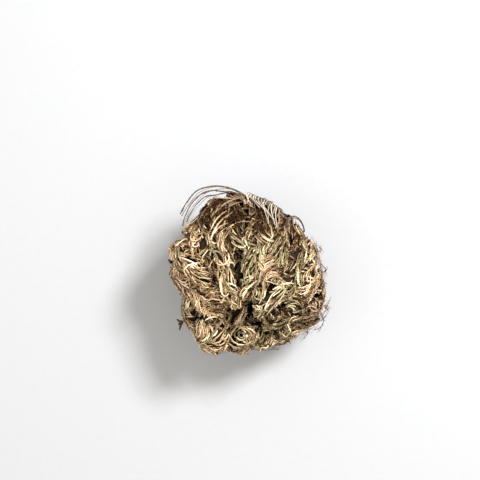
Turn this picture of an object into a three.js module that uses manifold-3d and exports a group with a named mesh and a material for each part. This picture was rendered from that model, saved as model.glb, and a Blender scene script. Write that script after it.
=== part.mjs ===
// A dried rose of jericho (Selaginella lepidophylla), curled up into a ball as it is when it has no water.
//
// Flat, fern-like fronds rise from a short crown in four layers, one inside the other, and follow the ball's
// surface up to a tip that is rolled inwards. Every frond has its own wedge of its layer, so no two cross.
// Old bare stems lie round the outside. A mat of roots under the crown is worn flat where the ball rests, and
// wiry roots spread from it over one side.
//
// Everything is first laid out round an upright axis, with the middle of the ball at 0, 0, 0. The function
// settle() then swirls, leans and swells that space as one, which keeps neighbours apart and makes the ball
// as uneven as a real one. Units are millimetres and degrees, +Z is up, and the origin is the middle of the
// flat spot that the ball rests on.

import * as THREE from "three";
import { mergeVertices } from "three/addons/utils/BufferGeometryUtils.js";
import Module from "manifold-3d";

const wasm = await Module();
wasm.setup();

// ---------------------------------------------------------------- driving dimensions

const CENTRE_HEIGHT = 38.5; // middle of the ball above the surface that it rests on
const REST_BEHIND = 5; // the flat spot lies this far towards +Y from the middle of the ball
const LEAN = 25; // how far the axis leans from upright, towards -Y
const FROND_SWIRL = -14; // turn of the fronds about the axis, from the waist to the top
const STEM_SWIRL = 16; // the same for the old stems and the roots outside them, and the crown
const NOD = [2.5, 8]; // how far the very top hangs over, towards -X and towards -Y
const HALF_HEIGHT = 30; // height over which the swirl and the nod build up
const TOUSLE = [[29, 1.7], [16, 0.6]]; // length and height of the waves that drying puts into the fronds
const TOUSLE_FROM = 6; // the waves grow between these two lengths along a frond
const TOUSLE_TO = 26;

// Radius of the leafy ball seen from above, every 15 degrees from +X.
const OUTLINE = [
  37, 37, 37, 36, 36, 38, 40.5, 45, 44.5, 39, 39, 42, 42.5, 36, 37.5, 43.5, 47.5, 44.5, 41.5, 42.5, 42.5,
  43, 47, 44,
];
const LUMP = 1.5; // size of the smooth lumps
const LUMP_LENGTH = 46; // distance from one lump to the next

const BLADE_THICKNESS = 0.8;
const RIB_HALF_WIDTH = 0.75;
const PINNA_PITCH = 4.8; // along the rib, from one pinna to the next
const PINNA_SWEEP = 0.78; // how far a pinna's tip lies ahead of the end of its own step, in steps
const RAGGED_LEAST = 0.84; // the shortest pinna, as a share of the full reach
const RAGGED_RANGE = 0.32;
const TIP_HALF_WIDTH = 1.3;
const LEAST_REACH = 0.3; // half width of a blade where its wedge leaves less
const PINNA_ROOM = 0.7; // a pinna is left out where its wedge leaves less than this beside the rib
const BARE_STATION = 7; // longest step along the bare part of a rib
const ROLL_STATION = 2.1; // shortest step along a rolled tip
const CLEARANCE = 0.3; // between a frond and the side of its wedge

// The layers of fronds, from the outside in. The first wedge of a layer starts at turn. waist and height are
// the half axes of the layer's ellipse and lift raises its middle. foot is the distance of the stems from the
// axis at the crown, halfWidth and arch are the blade's, and bare is the heading of the rib where it gets
// leafy. The rib starts to roll up between the two values of end, as angles up from the crown, and curl is
// the roll's first radius.
const LAYERS = [
  { name: "outer", count: 14, turn: 283, waist: 41, height: 33, lift: 0, foot: 9, halfWidth: 8.8,
    arch: 2.6, bare: 26, end: [116, 158], curl: 4.2 },
  { name: "lower", count: 11, turn: 140, waist: 35, height: 28, lift: 0, foot: 7.5, halfWidth: 8,
    arch: 1.6, bare: 24, end: [86, 106], curl: 2.4 },
  { name: "middle", count: 11, turn: 345, waist: 29, height: 22.5, lift: -1, foot: 6, halfWidth: 7.2,
    arch: 2, bare: 50, end: [122, 146], curl: 4.2 },
  { name: "inner", count: 7, turn: 19, waist: 16, height: 12.5, lift: -3, foot: 4, halfWidth: 5.5,
    arch: 1.2, bare: 50, end: [114, 134], curl: 3.3 },
];
const LONGER_BEHIND = 7; // how much further round the fronds on the +Y side reach, in degrees
const CURL_TURN = 350; // how far a frond's tip is rolled up
const CURL_INSIDE = 0.42; // radius at the end of the roll, as a share of its start
const CURL_EASE = 7; // length over which a frond starts to roll
const RIB_STEP = 0.4; // step of the fine rib path
const WIDEST_RADIUS = 40; // a rib that bends less than this counts as straight
const ARCH_LEAST = 0.25; // a blade's arch at its foot, as a share; it grows from there along the frond
const ARCH_RADIUS = 24; // where a rib bends tighter than this, its blade is arched less
const OPENING = 14; // length over which the pinnae grow to their full reach
const CLOSING = 26; // length before the tip over which they shorten
const UNEVEN_WEDGES = 0.44; // how much the wedges differ
const SHORT_SHARE = 0.45; // every second frond stops in this share of the layer's range, the others above it

// The old bare stems. Each point is the turn about the axis, the angle up from the crown and the distance
// out, along the half axes of an ellipse. Twigs leave it to one side, over the ball, and the tip is forked.
const STEM_RADIUS = 0.6;
const STEM_FLATTEN = 0.82; // height of that ellipse as a share of its width
const BARE_STEMS = [
  { path: [[84, 12, 44], [92.5, 27, 45], [97, 38, 45.8], [103, 47.5, 44.3], [110.5, 54.5, 44.5],
      [117.5, 59.5, 46.6], [123, 63, 48.7], [128, 67.5, 50], [133.5, 72, 51.2], [139.5, 75.5, 51.5],
      [145, 76, 50]], twigs: 0, fork: 3 },
  { path: [[99.5, 12, 44.2], [101.5, 27, 44.3], [105.5, 39, 44.5], [112.5, 49.5, 43.9], [119.5, 58, 44.6],
      [123.5, 65, 46.8], [127, 70, 47.7], [131, 75, 48], [136, 79, 48.7], [140.5, 82, 46.7],
      [145, 84.5, 44]], twigs: 0, fork: 3 },
  { path: [[113.5, 12, 44.3], [112.5, 27, 44.9], [114, 39.5, 44], [118.7, 52.7, 43.8], [123.2, 63.8, 44.2],
      [125.3, 71.8, 45.3], [128.5, 77.2, 45.6], [132.5, 81, 46.2], [137.5, 83, 45.6],
      [141, 83.5, 44]], twigs: 0, fork: 2.2 },
  { path: [[74, 12.7, 44.8], [79.5, 27, 44.9], [89.5, 44.5, 44.4], [99, 61.5, 44.2], [94.5, 71, 44.2],
      [79, 82, 44.5], [63, 88.5, 44.3]], twigs: 9, fork: 4 },
  { path: [[48, 15, 44], [44, 27.5, 44.8], [41.5, 45.5, 44.6], [38.9, 66.1, 44.7], [41.3, 75.5, 45.1],
      [44.6, 79.8, 45.4], [48.3, 84.5, 45.2], [51.9, 89, 44.8], [54.2, 94.5, 44.5], [53.5, 99.5, 44.4],
      [51.5, 103, 44.4]], twigs: 0, fork: 2 },
  { path: [[205.5, 20, 44.3], [213, 31.5, 44], [220.5, 45, 43.9], [223.5, 62, 45.5], [225, 72, 45.4],
      [224.5, 79.5, 45], [220.5, 87.5, 46.1], [216.5, 93, 49.3]], twigs: 0, fork: 5 },
];
const STEM_STEPS = 24;
const STEM_SIDES = 7;
const TWIG_SIDES = 5;
const TWIGS_FROM = 0.5; // the share of a stem where its twigs start, and where they end
const TWIGS_TO = 0.9;
const FORK_AT = 0.94;
const TWIG_TURN = -11; // a twig's tip from its root, round the axis and up the ball, in degrees
const TWIG_RISE = 17;
const TWIG_OUT = 44.2; // where its tip lies, on the same ellipse
const TWIG_RADIUS = 0.45;

const CROWN_SEAT = 0.4; // gap between a stem's foot and the crown
const CROWN_STEP = 1.2; // half the height of each step of the crown, where a layer's stems sit
const CROWN_FOOT = -39;
const CROWN_TOP = -11.5;
const MAT_GAP = 1.3; // between the mat and the outer layer's middle surface
const MAT_LUMP = 6.4; // radius of a lump of the mat
const MAT_RING = 8; // distance of the ring of lumps from the middle
const MAT_RING_LUMPS = 9;
const MAT_BEHIND = 11.5; // the same for the two lumps behind it
const MAT_BEHIND_UP = 6.5;
const ROOT_RADIUS = 0.55;
const ROOT_STEPS = 10;
const ROOT_SIDES = 6;
const ROOT_OUT = 44.3; // half axis of the ellipse that the wiry roots follow
const ROOT_START = 16; // how far up that ellipse they start, in degrees
const ROOT_FAN = 8; // roots that spread over the side of the ball from ROOT_SIDE[0] to ROOT_SIDE[1]
const ROOT_SIDE = [-78, 18];
const ROOT_FAN_REACH = [78, 110]; // how far up they reach
const ROOT_BEHIND = 3; // shorter roots behind, with the first at ROOT_BEHIND_FROM and a step to the next
const ROOT_BEHIND_FROM = 150;
const ROOT_BEHIND_STEP = 50;
const ROOT_BEHIND_REACH = [48, 60];
const ROOT_LIFT = 3.2; // how far a root rises off the ball between its ends
const ROOT_SWAY = 5; // how far it sways aside, in degrees

// ---------------------------------------------------------------- helpers

const radians = THREE.MathUtils.degToRad;
const mix = THREE.MathUtils.lerp;
const smooth = THREE.MathUtils.smoothstep;
const MIDDLE = new THREE.Vector2(0, 0);

/** A fixed random number from 0 to 1 for one numbered thing. */
function draw(number, kind) {
  const wave = Math.sin(number * 127.1 + kind * 311.7) * 43758.5453;
  return wave - Math.floor(wave);
}

/** Radius of the ball seen from above, on a smooth closed curve through OUTLINE. */
function outlineAt(angle) {
  const count = OUTLINE.length;
  const place = ((angle / (2 * Math.PI)) * count + 2 * count) % count;
  const first = Math.floor(place);
  const along = place - first;
  const [a, b, c, d] = [-1, 0, 1, 2].map((step) => OUTLINE[(first + step + count) % count]);
  return b + 0.5 * along * (c - a + along * (2 * a - 5 * b + 4 * c - d + along * (3 * (b - c) + d - a)));
}

/** Moves a point of the upright layout to its place in the settled ball. */
function settle(point, swirl) {
  const rise = point.z / HALF_HEIGHT;
  const turn = radians(swirl) * rise;
  const turnedX = point.x * Math.cos(turn) - point.y * Math.sin(turn);
  const turnedY = point.x * Math.sin(turn) + point.y * Math.cos(turn);
  const nod = Math.max(0, rise) ** 2;
  const noddedX = turnedX - NOD[0] * nod;
  const noddedY = turnedY - NOD[1] * nod;
  const lean = radians(LEAN);
  const leantY = noddedY * Math.cos(lean) - point.z * Math.sin(lean);
  const leantZ = noddedY * Math.sin(lean) + point.z * Math.cos(lean);

  const reach = (noddedX ** 2 + leantY ** 2) / LAYERS[0].waist ** 2;
  const swell = outlineAt(Math.atan2(leantY, noddedX)) / LAYERS[0].waist - 1;
  const scale = 1 + (swell * reach) / (reach + 0.2);
  const x = noddedX * scale;
  const y = leantY * scale;
  const wave = (2 * Math.PI) / LUMP_LENGTH;
  return point.set(
    x + LUMP * Math.sin(wave * (y + 0.6 * leantZ) + 1.1),
    y + LUMP * Math.sin(wave * (leantZ - 0.7 * x) + 2.6) - REST_BEHIND,
    leantZ + 0.7 * LUMP * Math.sin(wave * (x + 0.5 * y) + 0.4) + CENTRE_HEIGHT,
  );
}

/** Shifts a settled point over the surface of the ball, alike for all neighbours: the fronds lie in waves. */
function tousle(point, share) {
  const { x, y, z } = point;
  const shift = new THREE.Vector3();
  TOUSLE.forEach(([length, height], i) => {
    const wave = (2 * Math.PI) / length;
    const [a, b, c] = [1.3 * i, 2.1 * i + 1, 0.7 * i + 2];
    shift.x += height * Math.sin(wave * (y + 0.5 * z) + a) * Math.cos(0.7 * wave * x + b);
    shift.y += height * Math.sin(wave * (z - 0.6 * x) + b) * Math.cos(0.7 * wave * y + c);
    shift.z += height * Math.sin(wave * (x + 0.4 * y) + c) * Math.cos(0.7 * wave * z + a);
  });
  const outward = new THREE.Vector3(x, y + REST_BEHIND, z - CENTRE_HEIGHT).normalize();
  shift.addScaledVector(outward, -shift.dot(outward));
  return point.addScaledVector(shift, share);
}

/** Moves every vertex of a stem's, a root's or the crown's geometry as settle() does. */
function settleGeometry(geometry) {
  const positions = geometry.getAttribute("position");
  const point = new THREE.Vector3();
  for (let i = 0; i < positions.count; i += 1) {
    settle(point.fromBufferAttribute(positions, i), STEM_SWIRL);
    positions.setXYZ(i, point.x, point.y, point.z);
  }
  return geometry;
}

/** A closed geometry as a manifold-3d solid. */
function solidOf(geometry) {
  const bare = geometry.clone();
  bare.deleteAttribute("normal");
  bare.deleteAttribute("uv");
  const merged = mergeVertices(bare, 1e-4);
  return new wasm.Manifold(
    new wasm.Mesh({
      numProp: 3,
      vertProperties: new Float32Array(merged.getAttribute("position").array),
      triVerts: new Uint32Array(merged.index.array),
    }),
  );
}

/** A manifold-3d solid as a geometry. */
function geometryOf(solid) {
  const mesh = solid.getMesh();
  return new THREE.BufferGeometry()
    .setAttribute("position", new THREE.BufferAttribute(new Float32Array(mesh.vertProperties), 3))
    .setIndex(new THREE.BufferAttribute(new Uint32Array(mesh.triVerts), 1));
}

/** The union of closed geometries. */
function fuse(geometries) {
  return geometries.map(solidOf).reduce((whole, next) => whole.add(next));
}

/** A point on an ellipse round the axis: around the axis, and up from the bottom, in degrees. */
function onEllipse(around, up, waist, height) {
  const distance = waist * Math.sin(radians(up));
  return new THREE.Vector3(
    distance * Math.cos(radians(around)),
    distance * Math.sin(radians(around)),
    -height * Math.cos(radians(up)),
  );
}

/** A rod along points of the upright layout, settled. */
function rod(points, radius, steps, sides) {
  const turn = (2 * Math.PI) / sides;
  const section = new THREE.Shape(
    Array.from({ length: sides }, (_, i) => new THREE.Vector2(radius, 0).rotateAround(MIDDLE, i * turn)),
  );
  const path = new THREE.CatmullRomCurve3(points);
  return settleGeometry(
    new THREE.ExtrudeGeometry(section, { steps, bevelEnabled: false, extrudePath: path }),
  );
}

// ---------------------------------------------------------------- fronds

/** The fronds of all layers, each with its wedge, where it starts to roll and how wide it is. */
function frondPlan() {
  return LAYERS.flatMap((layer, level) => {
    const gapOf = (_, i) => 1 + UNEVEN_WEDGES * (draw(i, 3 + level) - 0.5);
    const gaps = Array.from({ length: layer.count }, gapOf);
    const whole = gaps.reduce((sum, gap) => sum + gap, 0);
    let start = layer.turn;
    return gaps.map((gap, i) => {
      const wedge = (360 * gap) / whole;
      const middle = start + wedge / 2;
      start += wedge;
      const long = draw(i, 7 + level) * SHORT_SHARE + (i % 2 ? 0 : 1 - SHORT_SHARE);
      return {
        ...layer,
        name: `frond_${layer.name}_${String(i + 1).padStart(2, "0")}`,
        middle,
        halfWedge: wedge / 2,
        end: mix(layer.end[0], layer.end[1], long) + LONGER_BEHIND * Math.sin(radians(middle)),
        curl: layer.curl * (0.92 + 0.16 * draw(i, 11 + level)),
      };
    });
  });
}

/** The middle line of a frond in its own upright plane: length along it, distance out, height and heading. */
function ribPath(frond) {
  const { waist, height, lift, foot, end } = frond;
  const path = [];
  let length = 0;
  const degree = radians(1);
  const first = Math.asin(foot / waist);
  let last = null;
  for (let angle = first; angle < radians(end); angle += degree) {
    const out = waist * Math.sin(angle);
    const up = lift - height * Math.cos(angle);
    if (last) length += Math.hypot(out - last.out, up - last.up);
    const heading = Math.atan2(height * Math.sin(angle), waist * Math.cos(angle));
    last = { length, out, up, heading };
    path.push(last);
  }
  const rollFrom = length;
  const slow = 1 / Math.hypot(waist * Math.cos(radians(end)), height * Math.sin(radians(end)));
  const whole = radians(CURL_TURN);
  let { out, up, heading } = last;
  let turned = 0;
  while (turned < whole) {
    const radius = frond.curl * mix(1, CURL_INSIDE, turned / whole);
    const bend = mix(slow, 1 / radius, smooth(length - rollFrom, 0, CURL_EASE));
    const turn = bend * RIB_STEP;
    out += Math.cos(heading + turn / 2) * RIB_STEP;
    up += Math.sin(heading + turn / 2) * RIB_STEP;
    heading += turn;
    turned += turn;
    length += RIB_STEP;
    path.push({ length, out, up, heading, radius: 1 / bend });
  }
  const leafFrom = path.find((place) => place.heading >= radians(frond.bare)).length;
  return { path, length, leafFrom };
}

/** The rib at a length along it. */
function ribAt(rib, length) {
  const wanted = THREE.MathUtils.clamp(length, 0, rib.length);
  const next = Math.max(1, rib.path.findIndex((place) => place.length >= wanted));
  const [a, b] = [rib.path[next - 1], rib.path[next]];
  const share = (wanted - a.length) / (b.length - a.length);
  return {
    out: mix(a.out, b.out, share),
    up: mix(a.up, b.up, share),
    heading: mix(a.heading, b.heading, share),
    radius: Math.min(WIDEST_RADIUS, b.radius ?? WIDEST_RADIUS),
  };
}

/** How far the pinnae reach from the rib, before the wedge limits them. */
function reachAt(frond, rib, length) {
  const { leafFrom } = rib;
  const opening = smooth(length, leafFrom - 1, leafFrom + OPENING);
  const closing = THREE.MathUtils.clamp((rib.length - length) / CLOSING, 0, 1);
  return mix(TIP_HALF_WIDTH, mix(RIB_HALF_WIDTH + 0.8, frond.halfWidth, opening), closing ** 0.8);
}

/** A frond as one thin arched blade, cut to the rib into pinnae, with its tip rolled inwards. */
function frondGeometry(frond) {
  const rib = ribPath(frond);
  const middle = radians(frond.middle);
  const positions = [];
  const lengths = [];
  const index = [];

  /** How far the frond's wedge reaches aside at a distance out from the axis. */
  const wedgeAt = (out) => out * Math.tan(radians(frond.halfWedge)) - CLEARANCE;

  /** A pair of vertices, on the outer and the inner face, aside from the rib; returns their number. */
  const pair = (length, aside, drop) => {
    const place = ribAt(rib, length);
    const [outward, upward] = [Math.sin(place.heading), -Math.cos(place.heading)];
    for (const side of [1, -1]) {
      const rise = side * (BLADE_THICKNESS / 2) - drop;
      const out = place.out + outward * rise;
      const reach = Math.sign(aside) * Math.max(LEAST_REACH, Math.min(Math.abs(aside), wedgeAt(out)));
      positions.push(
        out * Math.cos(middle) - reach * Math.sin(middle),
        out * Math.sin(middle) + reach * Math.cos(middle),
        place.up + upward * rise,
      );
      lengths.push(length);
    }
    return positions.length / 6 - 1;
  };
  const outer = (number) => 2 * number;
  const inner = (number) => 2 * number + 1;
  const triangle = (a, b, c) => index.push(a, b, c);
  const faces = (a, b, c) => {
    triangle(outer(a), outer(b), outer(c));
    triangle(inner(a), inner(c), inner(b));
  };
  const wall = (from, to) => {
    triangle(outer(from), inner(from), inner(to));
    triangle(outer(from), inner(to), outer(to));
  };

  const stations = [0];
  while (stations.at(-1) < rib.length - 1) {
    const here = stations.at(-1);
    const { radius } = ribAt(rib, here + 2);
    const step = here < rib.leafFrom
      ? THREE.MathUtils.clamp(rib.leafFrom - here, 2, BARE_STATION)
      : THREE.MathUtils.clamp(radius, ROLL_STATION, PINNA_PITCH);
    stations.push(Math.min(rib.length, here + step));
  }

  const edge = (length) => mix(RIB_HALF_WIDTH, RIB_HALF_WIDTH * 0.7, length / rib.length);
  let [left, right] = [pair(0, edge(0), 0), pair(0, -edge(0), 0)];
  wall(right, left);
  stations.slice(1).forEach((length, i) => {
    const before = stations[i];
    const nextLeft = pair(length, edge(length), 0);
    const nextRight = pair(length, -edge(length), 0);
    faces(right, left, nextLeft);
    faces(right, nextLeft, nextRight);
    const room = wedgeAt(ribAt(rib, length).out) - edge(length);
    const leafy = before >= rib.leafFrom - 0.01 && room > PINNA_ROOM;
    for (const side of [1, -1]) {
      const [from, to] = side > 0 ? [left, nextLeft] : [nextRight, right];
      if (!leafy) {
        wall(from, to);
        continue;
      }
      const ragged = RAGGED_LEAST + RAGGED_RANGE * draw(i * 2 + side, frond.middle);
      const roll = Math.min(1, ribAt(rib, length).radius / ARCH_RADIUS);
      const tipAt = Math.min(rib.length, length + PINNA_SWEEP * (length - before) * ragged * roll);
      const reach = reachAt(frond, rib, length) * Math.min(1, ragged);
      const drop = frond.arch * roll * (ARCH_LEAST + tipAt / rib.length) * (reach / frond.halfWidth) ** 2;
      const tip = pair(tipAt, side * reach, drop);
      if (side > 0) faces(from, tip, to);
      else faces(to, from, tip);
      wall(from, tip);
      wall(tip, to);
    }
    [left, right] = [nextLeft, nextRight];
  });
  wall(left, right);

  const point = new THREE.Vector3();
  lengths.forEach((length, i) => {
    settle(point.fromArray(positions, 3 * i), FROND_SWIRL);
    tousle(point, smooth(length, TOUSLE_FROM, TOUSLE_TO)).toArray(positions, 3 * i);
  });
  return new THREE.BufferGeometry()
    .setAttribute("position", new THREE.Float32BufferAttribute(positions, 3))
    .setIndex(index);
}

// ---------------------------------------------------------------- bare stems

/** An old stem whose leaves have dropped: a wiry rod with a forked tip and a few stubs of pinnae. */
function bareStemGeometry(stem) {
  const curve = new THREE.CatmullRomCurve3(
    stem.path.map(([around, up, out]) => onEllipse(around, up, out, out * STEM_FLATTEN)),
  );
  const at = (share) => curve.getPoint(THREE.MathUtils.clamp(share, 0, 1));
  const points = Array.from({ length: STEM_STEPS + 1 }, (_, i) => at(i / STEM_STEPS));
  const parts = [rod(points, STEM_RADIUS, STEM_STEPS, STEM_SIDES)];

  const twig = (share) => {
    const { x, y, z } = at(share);
    const across = Math.hypot(x, y);
    const around = Math.atan2(y, x) / radians(1);
    const up = Math.atan2(across, -z / STEM_FLATTEN) / radians(1);
    const points = [0, 0.5, 1].map((along) => {
      const out = mix(Math.hypot(across, z / STEM_FLATTEN), TWIG_OUT, along);
      return onEllipse(around + TWIG_TURN * along ** 2, up + TWIG_RISE * along, out, out * STEM_FLATTEN);
    });
    return rod(points, TWIG_RADIUS, 3, TWIG_SIDES);
  };
  for (let i = 0; i < stem.twigs; i += 1) {
    parts.push(twig(mix(TWIGS_FROM, TWIGS_TO, i / Math.max(1, stem.twigs - 1))));
  }

  const prong = (side) => {
    const root = at(FORK_AT);
    const forward = at(1).sub(at(FORK_AT - 0.02)).normalize();
    const inward = root.clone().normalize().negate();
    const aside = new THREE.Vector3().crossVectors(forward, inward).multiplyScalar(side);
    const way = forward.multiplyScalar(0.8).add(aside).normalize();
    const bent = way.clone().add(inward.multiplyScalar(0.35)).normalize();
    const middle = root.clone().addScaledVector(way, stem.fork * 0.5);
    const end = middle.clone().addScaledVector(bent, stem.fork * 0.5);
    return rod([root, middle, end], TWIG_RADIUS, 2, TWIG_SIDES);
  };
  parts.push(prong(0.7), prong(-0.7));
  return geometryOf(fuse(parts));
}

// ---------------------------------------------------------------- crown and roots

/** The crown that all fronds grow from, with the mat of roots under it and the wiry roots on one side. */
function rootCrownGeometry() {
  const steps = LAYERS.flatMap(({ waist, height, lift, foot }) => {
    const up = lift - height * Math.cos(Math.asin(foot / waist));
    return [[foot - CROWN_SEAT, up - CROWN_STEP], [foot - CROWN_SEAT, up + CROWN_STEP]];
  });
  const profile = [
    [0, CROWN_FOOT],
    [steps[0][0] - 1, CROWN_FOOT],
    ...steps,
    [1.6, CROWN_TOP - 0.5],
    [0, CROWN_TOP],
  ].map(([out, up]) => new THREE.Vector2(out, up));
  const crown = new THREE.LatheGeometry(profile, 18).rotateX(Math.PI / 2);

  const lumps = Array.from({ length: MAT_RING_LUMPS + 2 }, (_, i) => {
    const behind = i >= MAT_RING_LUMPS;
    const ringPlace = (360 / MAT_RING_LUMPS) * i + 12 * draw(i, 31);
    const around = radians(behind ? 60 + 60 * (i - MAT_RING_LUMPS) : ringPlace);
    const out = behind ? MAT_BEHIND : MAT_RING * (0.92 + 0.16 * draw(i, 32));
    const radius = MAT_LUMP * (0.92 + 0.18 * draw(i, 33));
    const up = behind ? MAT_BEHIND_UP : radius * 0.62;
    const lump = new THREE.IcosahedronGeometry(radius, 1).rotateX(i).rotateZ(2 * i);
    return lump.translate(out * Math.cos(around), out * Math.sin(around), up);
  });
  const pad = new THREE.CylinderGeometry(MAT_RING, MAT_RING, 5, 12).rotateX(Math.PI / 2);
  const hollow = new THREE.SphereGeometry(1, 24, 16)
    .rotateX(Math.PI / 2)
    .scale(LAYERS[0].waist + MAT_GAP, LAYERS[0].waist + MAT_GAP, LAYERS[0].height + MAT_GAP);

  const roots = Array.from({ length: ROOT_FAN + ROOT_BEHIND }, (_, i) => {
    const inFan = i < ROOT_FAN;
    const around = inFan
      ? mix(ROOT_SIDE[0], ROOT_SIDE[1], i / (ROOT_FAN - 1))
      : ROOT_BEHIND_FROM + ROOT_BEHIND_STEP * (i - ROOT_FAN);
    const reach = mix(...(inFan ? ROOT_FAN_REACH : ROOT_BEHIND_REACH), draw(i, 41));
    const points = Array.from({ length: 7 }, (_, step) => {
      const share = step / 6;
      const out = ROOT_OUT + ROOT_LIFT * Math.sin(Math.PI * share) * draw(i, 42) + 2 * share * draw(i, 43);
      const sway = ROOT_SWAY * Math.sin(2.5 * share * Math.PI + i) * share;
      return onEllipse(around + sway, mix(ROOT_START, reach, share), out, out * STEM_FLATTEN);
    });
    return rod(points, ROOT_RADIUS, ROOT_STEPS, ROOT_SIDES);
  });

  const floor = new THREE.BoxGeometry(200, 200, 50).translate(0, 0, -25);
  const matSolid = fuse([pad, ...lumps]).subtract(solidOf(settleGeometry(hollow)));
  const whole = fuse([settleGeometry(crown), ...roots]).add(matSolid).subtract(solidOf(floor));
  const largest = whole.decompose().sort((a, b) => b.volume() - a.volume())[0];
  return geometryOf(largest);
}

// ---------------------------------------------------------------- assembly

const COLOURS = {
  outer: new THREE.MeshStandardMaterial({ color: 0x8f7a55, roughness: 0.85, metalness: 0 }),
  lower: new THREE.MeshStandardMaterial({ color: 0x77654a, roughness: 0.9, metalness: 0 }),
  middle: new THREE.MeshStandardMaterial({ color: 0x8a8358, roughness: 0.85, metalness: 0 }),
  inner: new THREE.MeshStandardMaterial({ color: 0x7c8058, roughness: 0.85, metalness: 0 }),
  stem: new THREE.MeshStandardMaterial({ color: 0x5d4a3a, roughness: 0.8, metalness: 0 }),
  root: new THREE.MeshStandardMaterial({ color: 0x4a3729, roughness: 0.95, metalness: 0 }),
};

const plant = new THREE.Group();
plant.name = "rose_of_jericho";

function add(name, geometry, material) {
  const mesh = new THREE.Mesh(geometry, material);
  mesh.name = name;
  plant.add(mesh);
}

add("root_crown", rootCrownGeometry(), COLOURS.root);
for (const frond of frondPlan()) {
  add(frond.name, frondGeometry(frond), COLOURS[frond.name.split("_")[1]]);
}
BARE_STEMS.forEach((stem, i) => {
  add(`bare_stem_${i + 1}`, bareStemGeometry(stem), COLOURS.stem);
});

export default plant;
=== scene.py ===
"""A dried rose of jericho, curled into a ball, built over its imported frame.

Every frond node is replaced by a finer frond on the same rib: pinnae and branchlets under overlapping scale
leaves. The crown, the mat of roots and the bare stems get their bark, stubs and fibres.
Sizes inside the plant are in millimetres and become metres where a mesh is made.
"""

import math

import bpy
import numpy as np
from bpy.props import FloatProperty, FloatVectorProperty, IntProperty, PointerProperty
from bpy.types import Operator, Panel, PropertyGroup
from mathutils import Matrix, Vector


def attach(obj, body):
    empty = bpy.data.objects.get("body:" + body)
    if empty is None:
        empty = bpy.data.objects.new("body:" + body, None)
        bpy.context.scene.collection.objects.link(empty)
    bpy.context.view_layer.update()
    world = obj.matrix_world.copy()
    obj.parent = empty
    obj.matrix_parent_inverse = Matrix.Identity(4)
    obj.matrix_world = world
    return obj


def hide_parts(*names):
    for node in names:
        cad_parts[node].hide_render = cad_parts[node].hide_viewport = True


bl_info = {
    "name": "Rose of Jericho",
    "version": (1, 0, 0),
    "blender": (4, 5, 0),
    "location": "3D View > Sidebar > Plant",
    "description": "A dried, curled rose of jericho with scale-leaved fronds",
    "category": "Add Mesh",
}

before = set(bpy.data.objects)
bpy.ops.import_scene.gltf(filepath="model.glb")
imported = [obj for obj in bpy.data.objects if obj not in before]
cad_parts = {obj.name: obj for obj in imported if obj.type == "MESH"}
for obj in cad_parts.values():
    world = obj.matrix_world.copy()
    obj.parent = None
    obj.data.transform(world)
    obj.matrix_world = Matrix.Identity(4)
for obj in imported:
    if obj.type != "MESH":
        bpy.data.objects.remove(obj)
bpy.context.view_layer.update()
BODY = "root"
MM = 0.001

# ---------------------------------------------------------------- the form, as in the frame

# The ball, in millimetres and degrees. OUTLINE is its radius seen from above, every 15 degrees from +X on.
CENTRE_HEIGHT = 38.5
REST_BEHIND = 5.0
BALL_MIDDLE = np.array([0, -REST_BEHIND, CENTRE_HEIGHT])
LEAN = 25.0
FROND_SWIRL = -14.0
STEM_SWIRL = 16.0
NOD = (2.5, 8.0)
HALF_HEIGHT = 30.0
OUTLINE = np.array([
    37, 37, 37, 36, 36, 38, 40.5, 45, 44.5, 39, 39, 42, 42.5, 36, 37.5, 43.5, 47.5, 44.5, 41.5, 42.5, 42.5,
    43, 47, 44,
])
OUTLINE_EASE = 0.2
LUMP = 1.5
LUMP_LENGTH = 46.0

# The layers of fronds, from outside to inside. Each frond starts at the crown (foot), runs round an ellipse
# (waist, height) up to its end angle and then rolls up (curl); its lower part is bare.
LAYERS = {
    "outer": dict(count=14, turn=283, waist=41, height=33, lift=0, foot=9, half_width=8.8, arch=2.6,
                  bare=26, end=(116, 158), curl=4.2, sparse=1.0),
    "lower": dict(count=11, turn=140, waist=35, height=28, lift=0, foot=7.5, half_width=8.0, arch=1.6,
                  bare=24, end=(86, 106), curl=2.4, sparse=1.6),
    "middle": dict(count=11, turn=345, waist=29, height=22.5, lift=-1, foot=6, half_width=7.2, arch=2.0,
                   bare=50, end=(122, 146), curl=4.2, sparse=1.15),
    "inner": dict(count=7, turn=19, waist=16, height=12.5, lift=-3, foot=4, half_width=5.5, arch=1.2,
                  bare=50, end=(114, 134), curl=3.3, sparse=1.2),
}
WAIST = LAYERS["outer"]["waist"]
WEDGE_SPREAD = 0.44
LONGER_BEHIND = 7.0
CURL_TURN = math.radians(350)
CURL_INSIDE = 0.42
CURL_EASE = 7.0
RIB_STEP = 0.4
WIDEST_RADIUS = 40.0
ARCH_LEAST = 0.25
ARCH_RADIUS = 24.0
ARCH_WIDEST = 1.3
SWAY_LENGTH = 34.0
SWAY = 0.9
SWAYS_FROM = (5, 20)
TOUSLED_FROM = (6, 26)
TOUSLE = ((29.0, 1.7), (16.0, 0.6))
TIP_HALF_WIDTH = 1.3
BARE_HALF_WIDTH = 1.6

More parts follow.
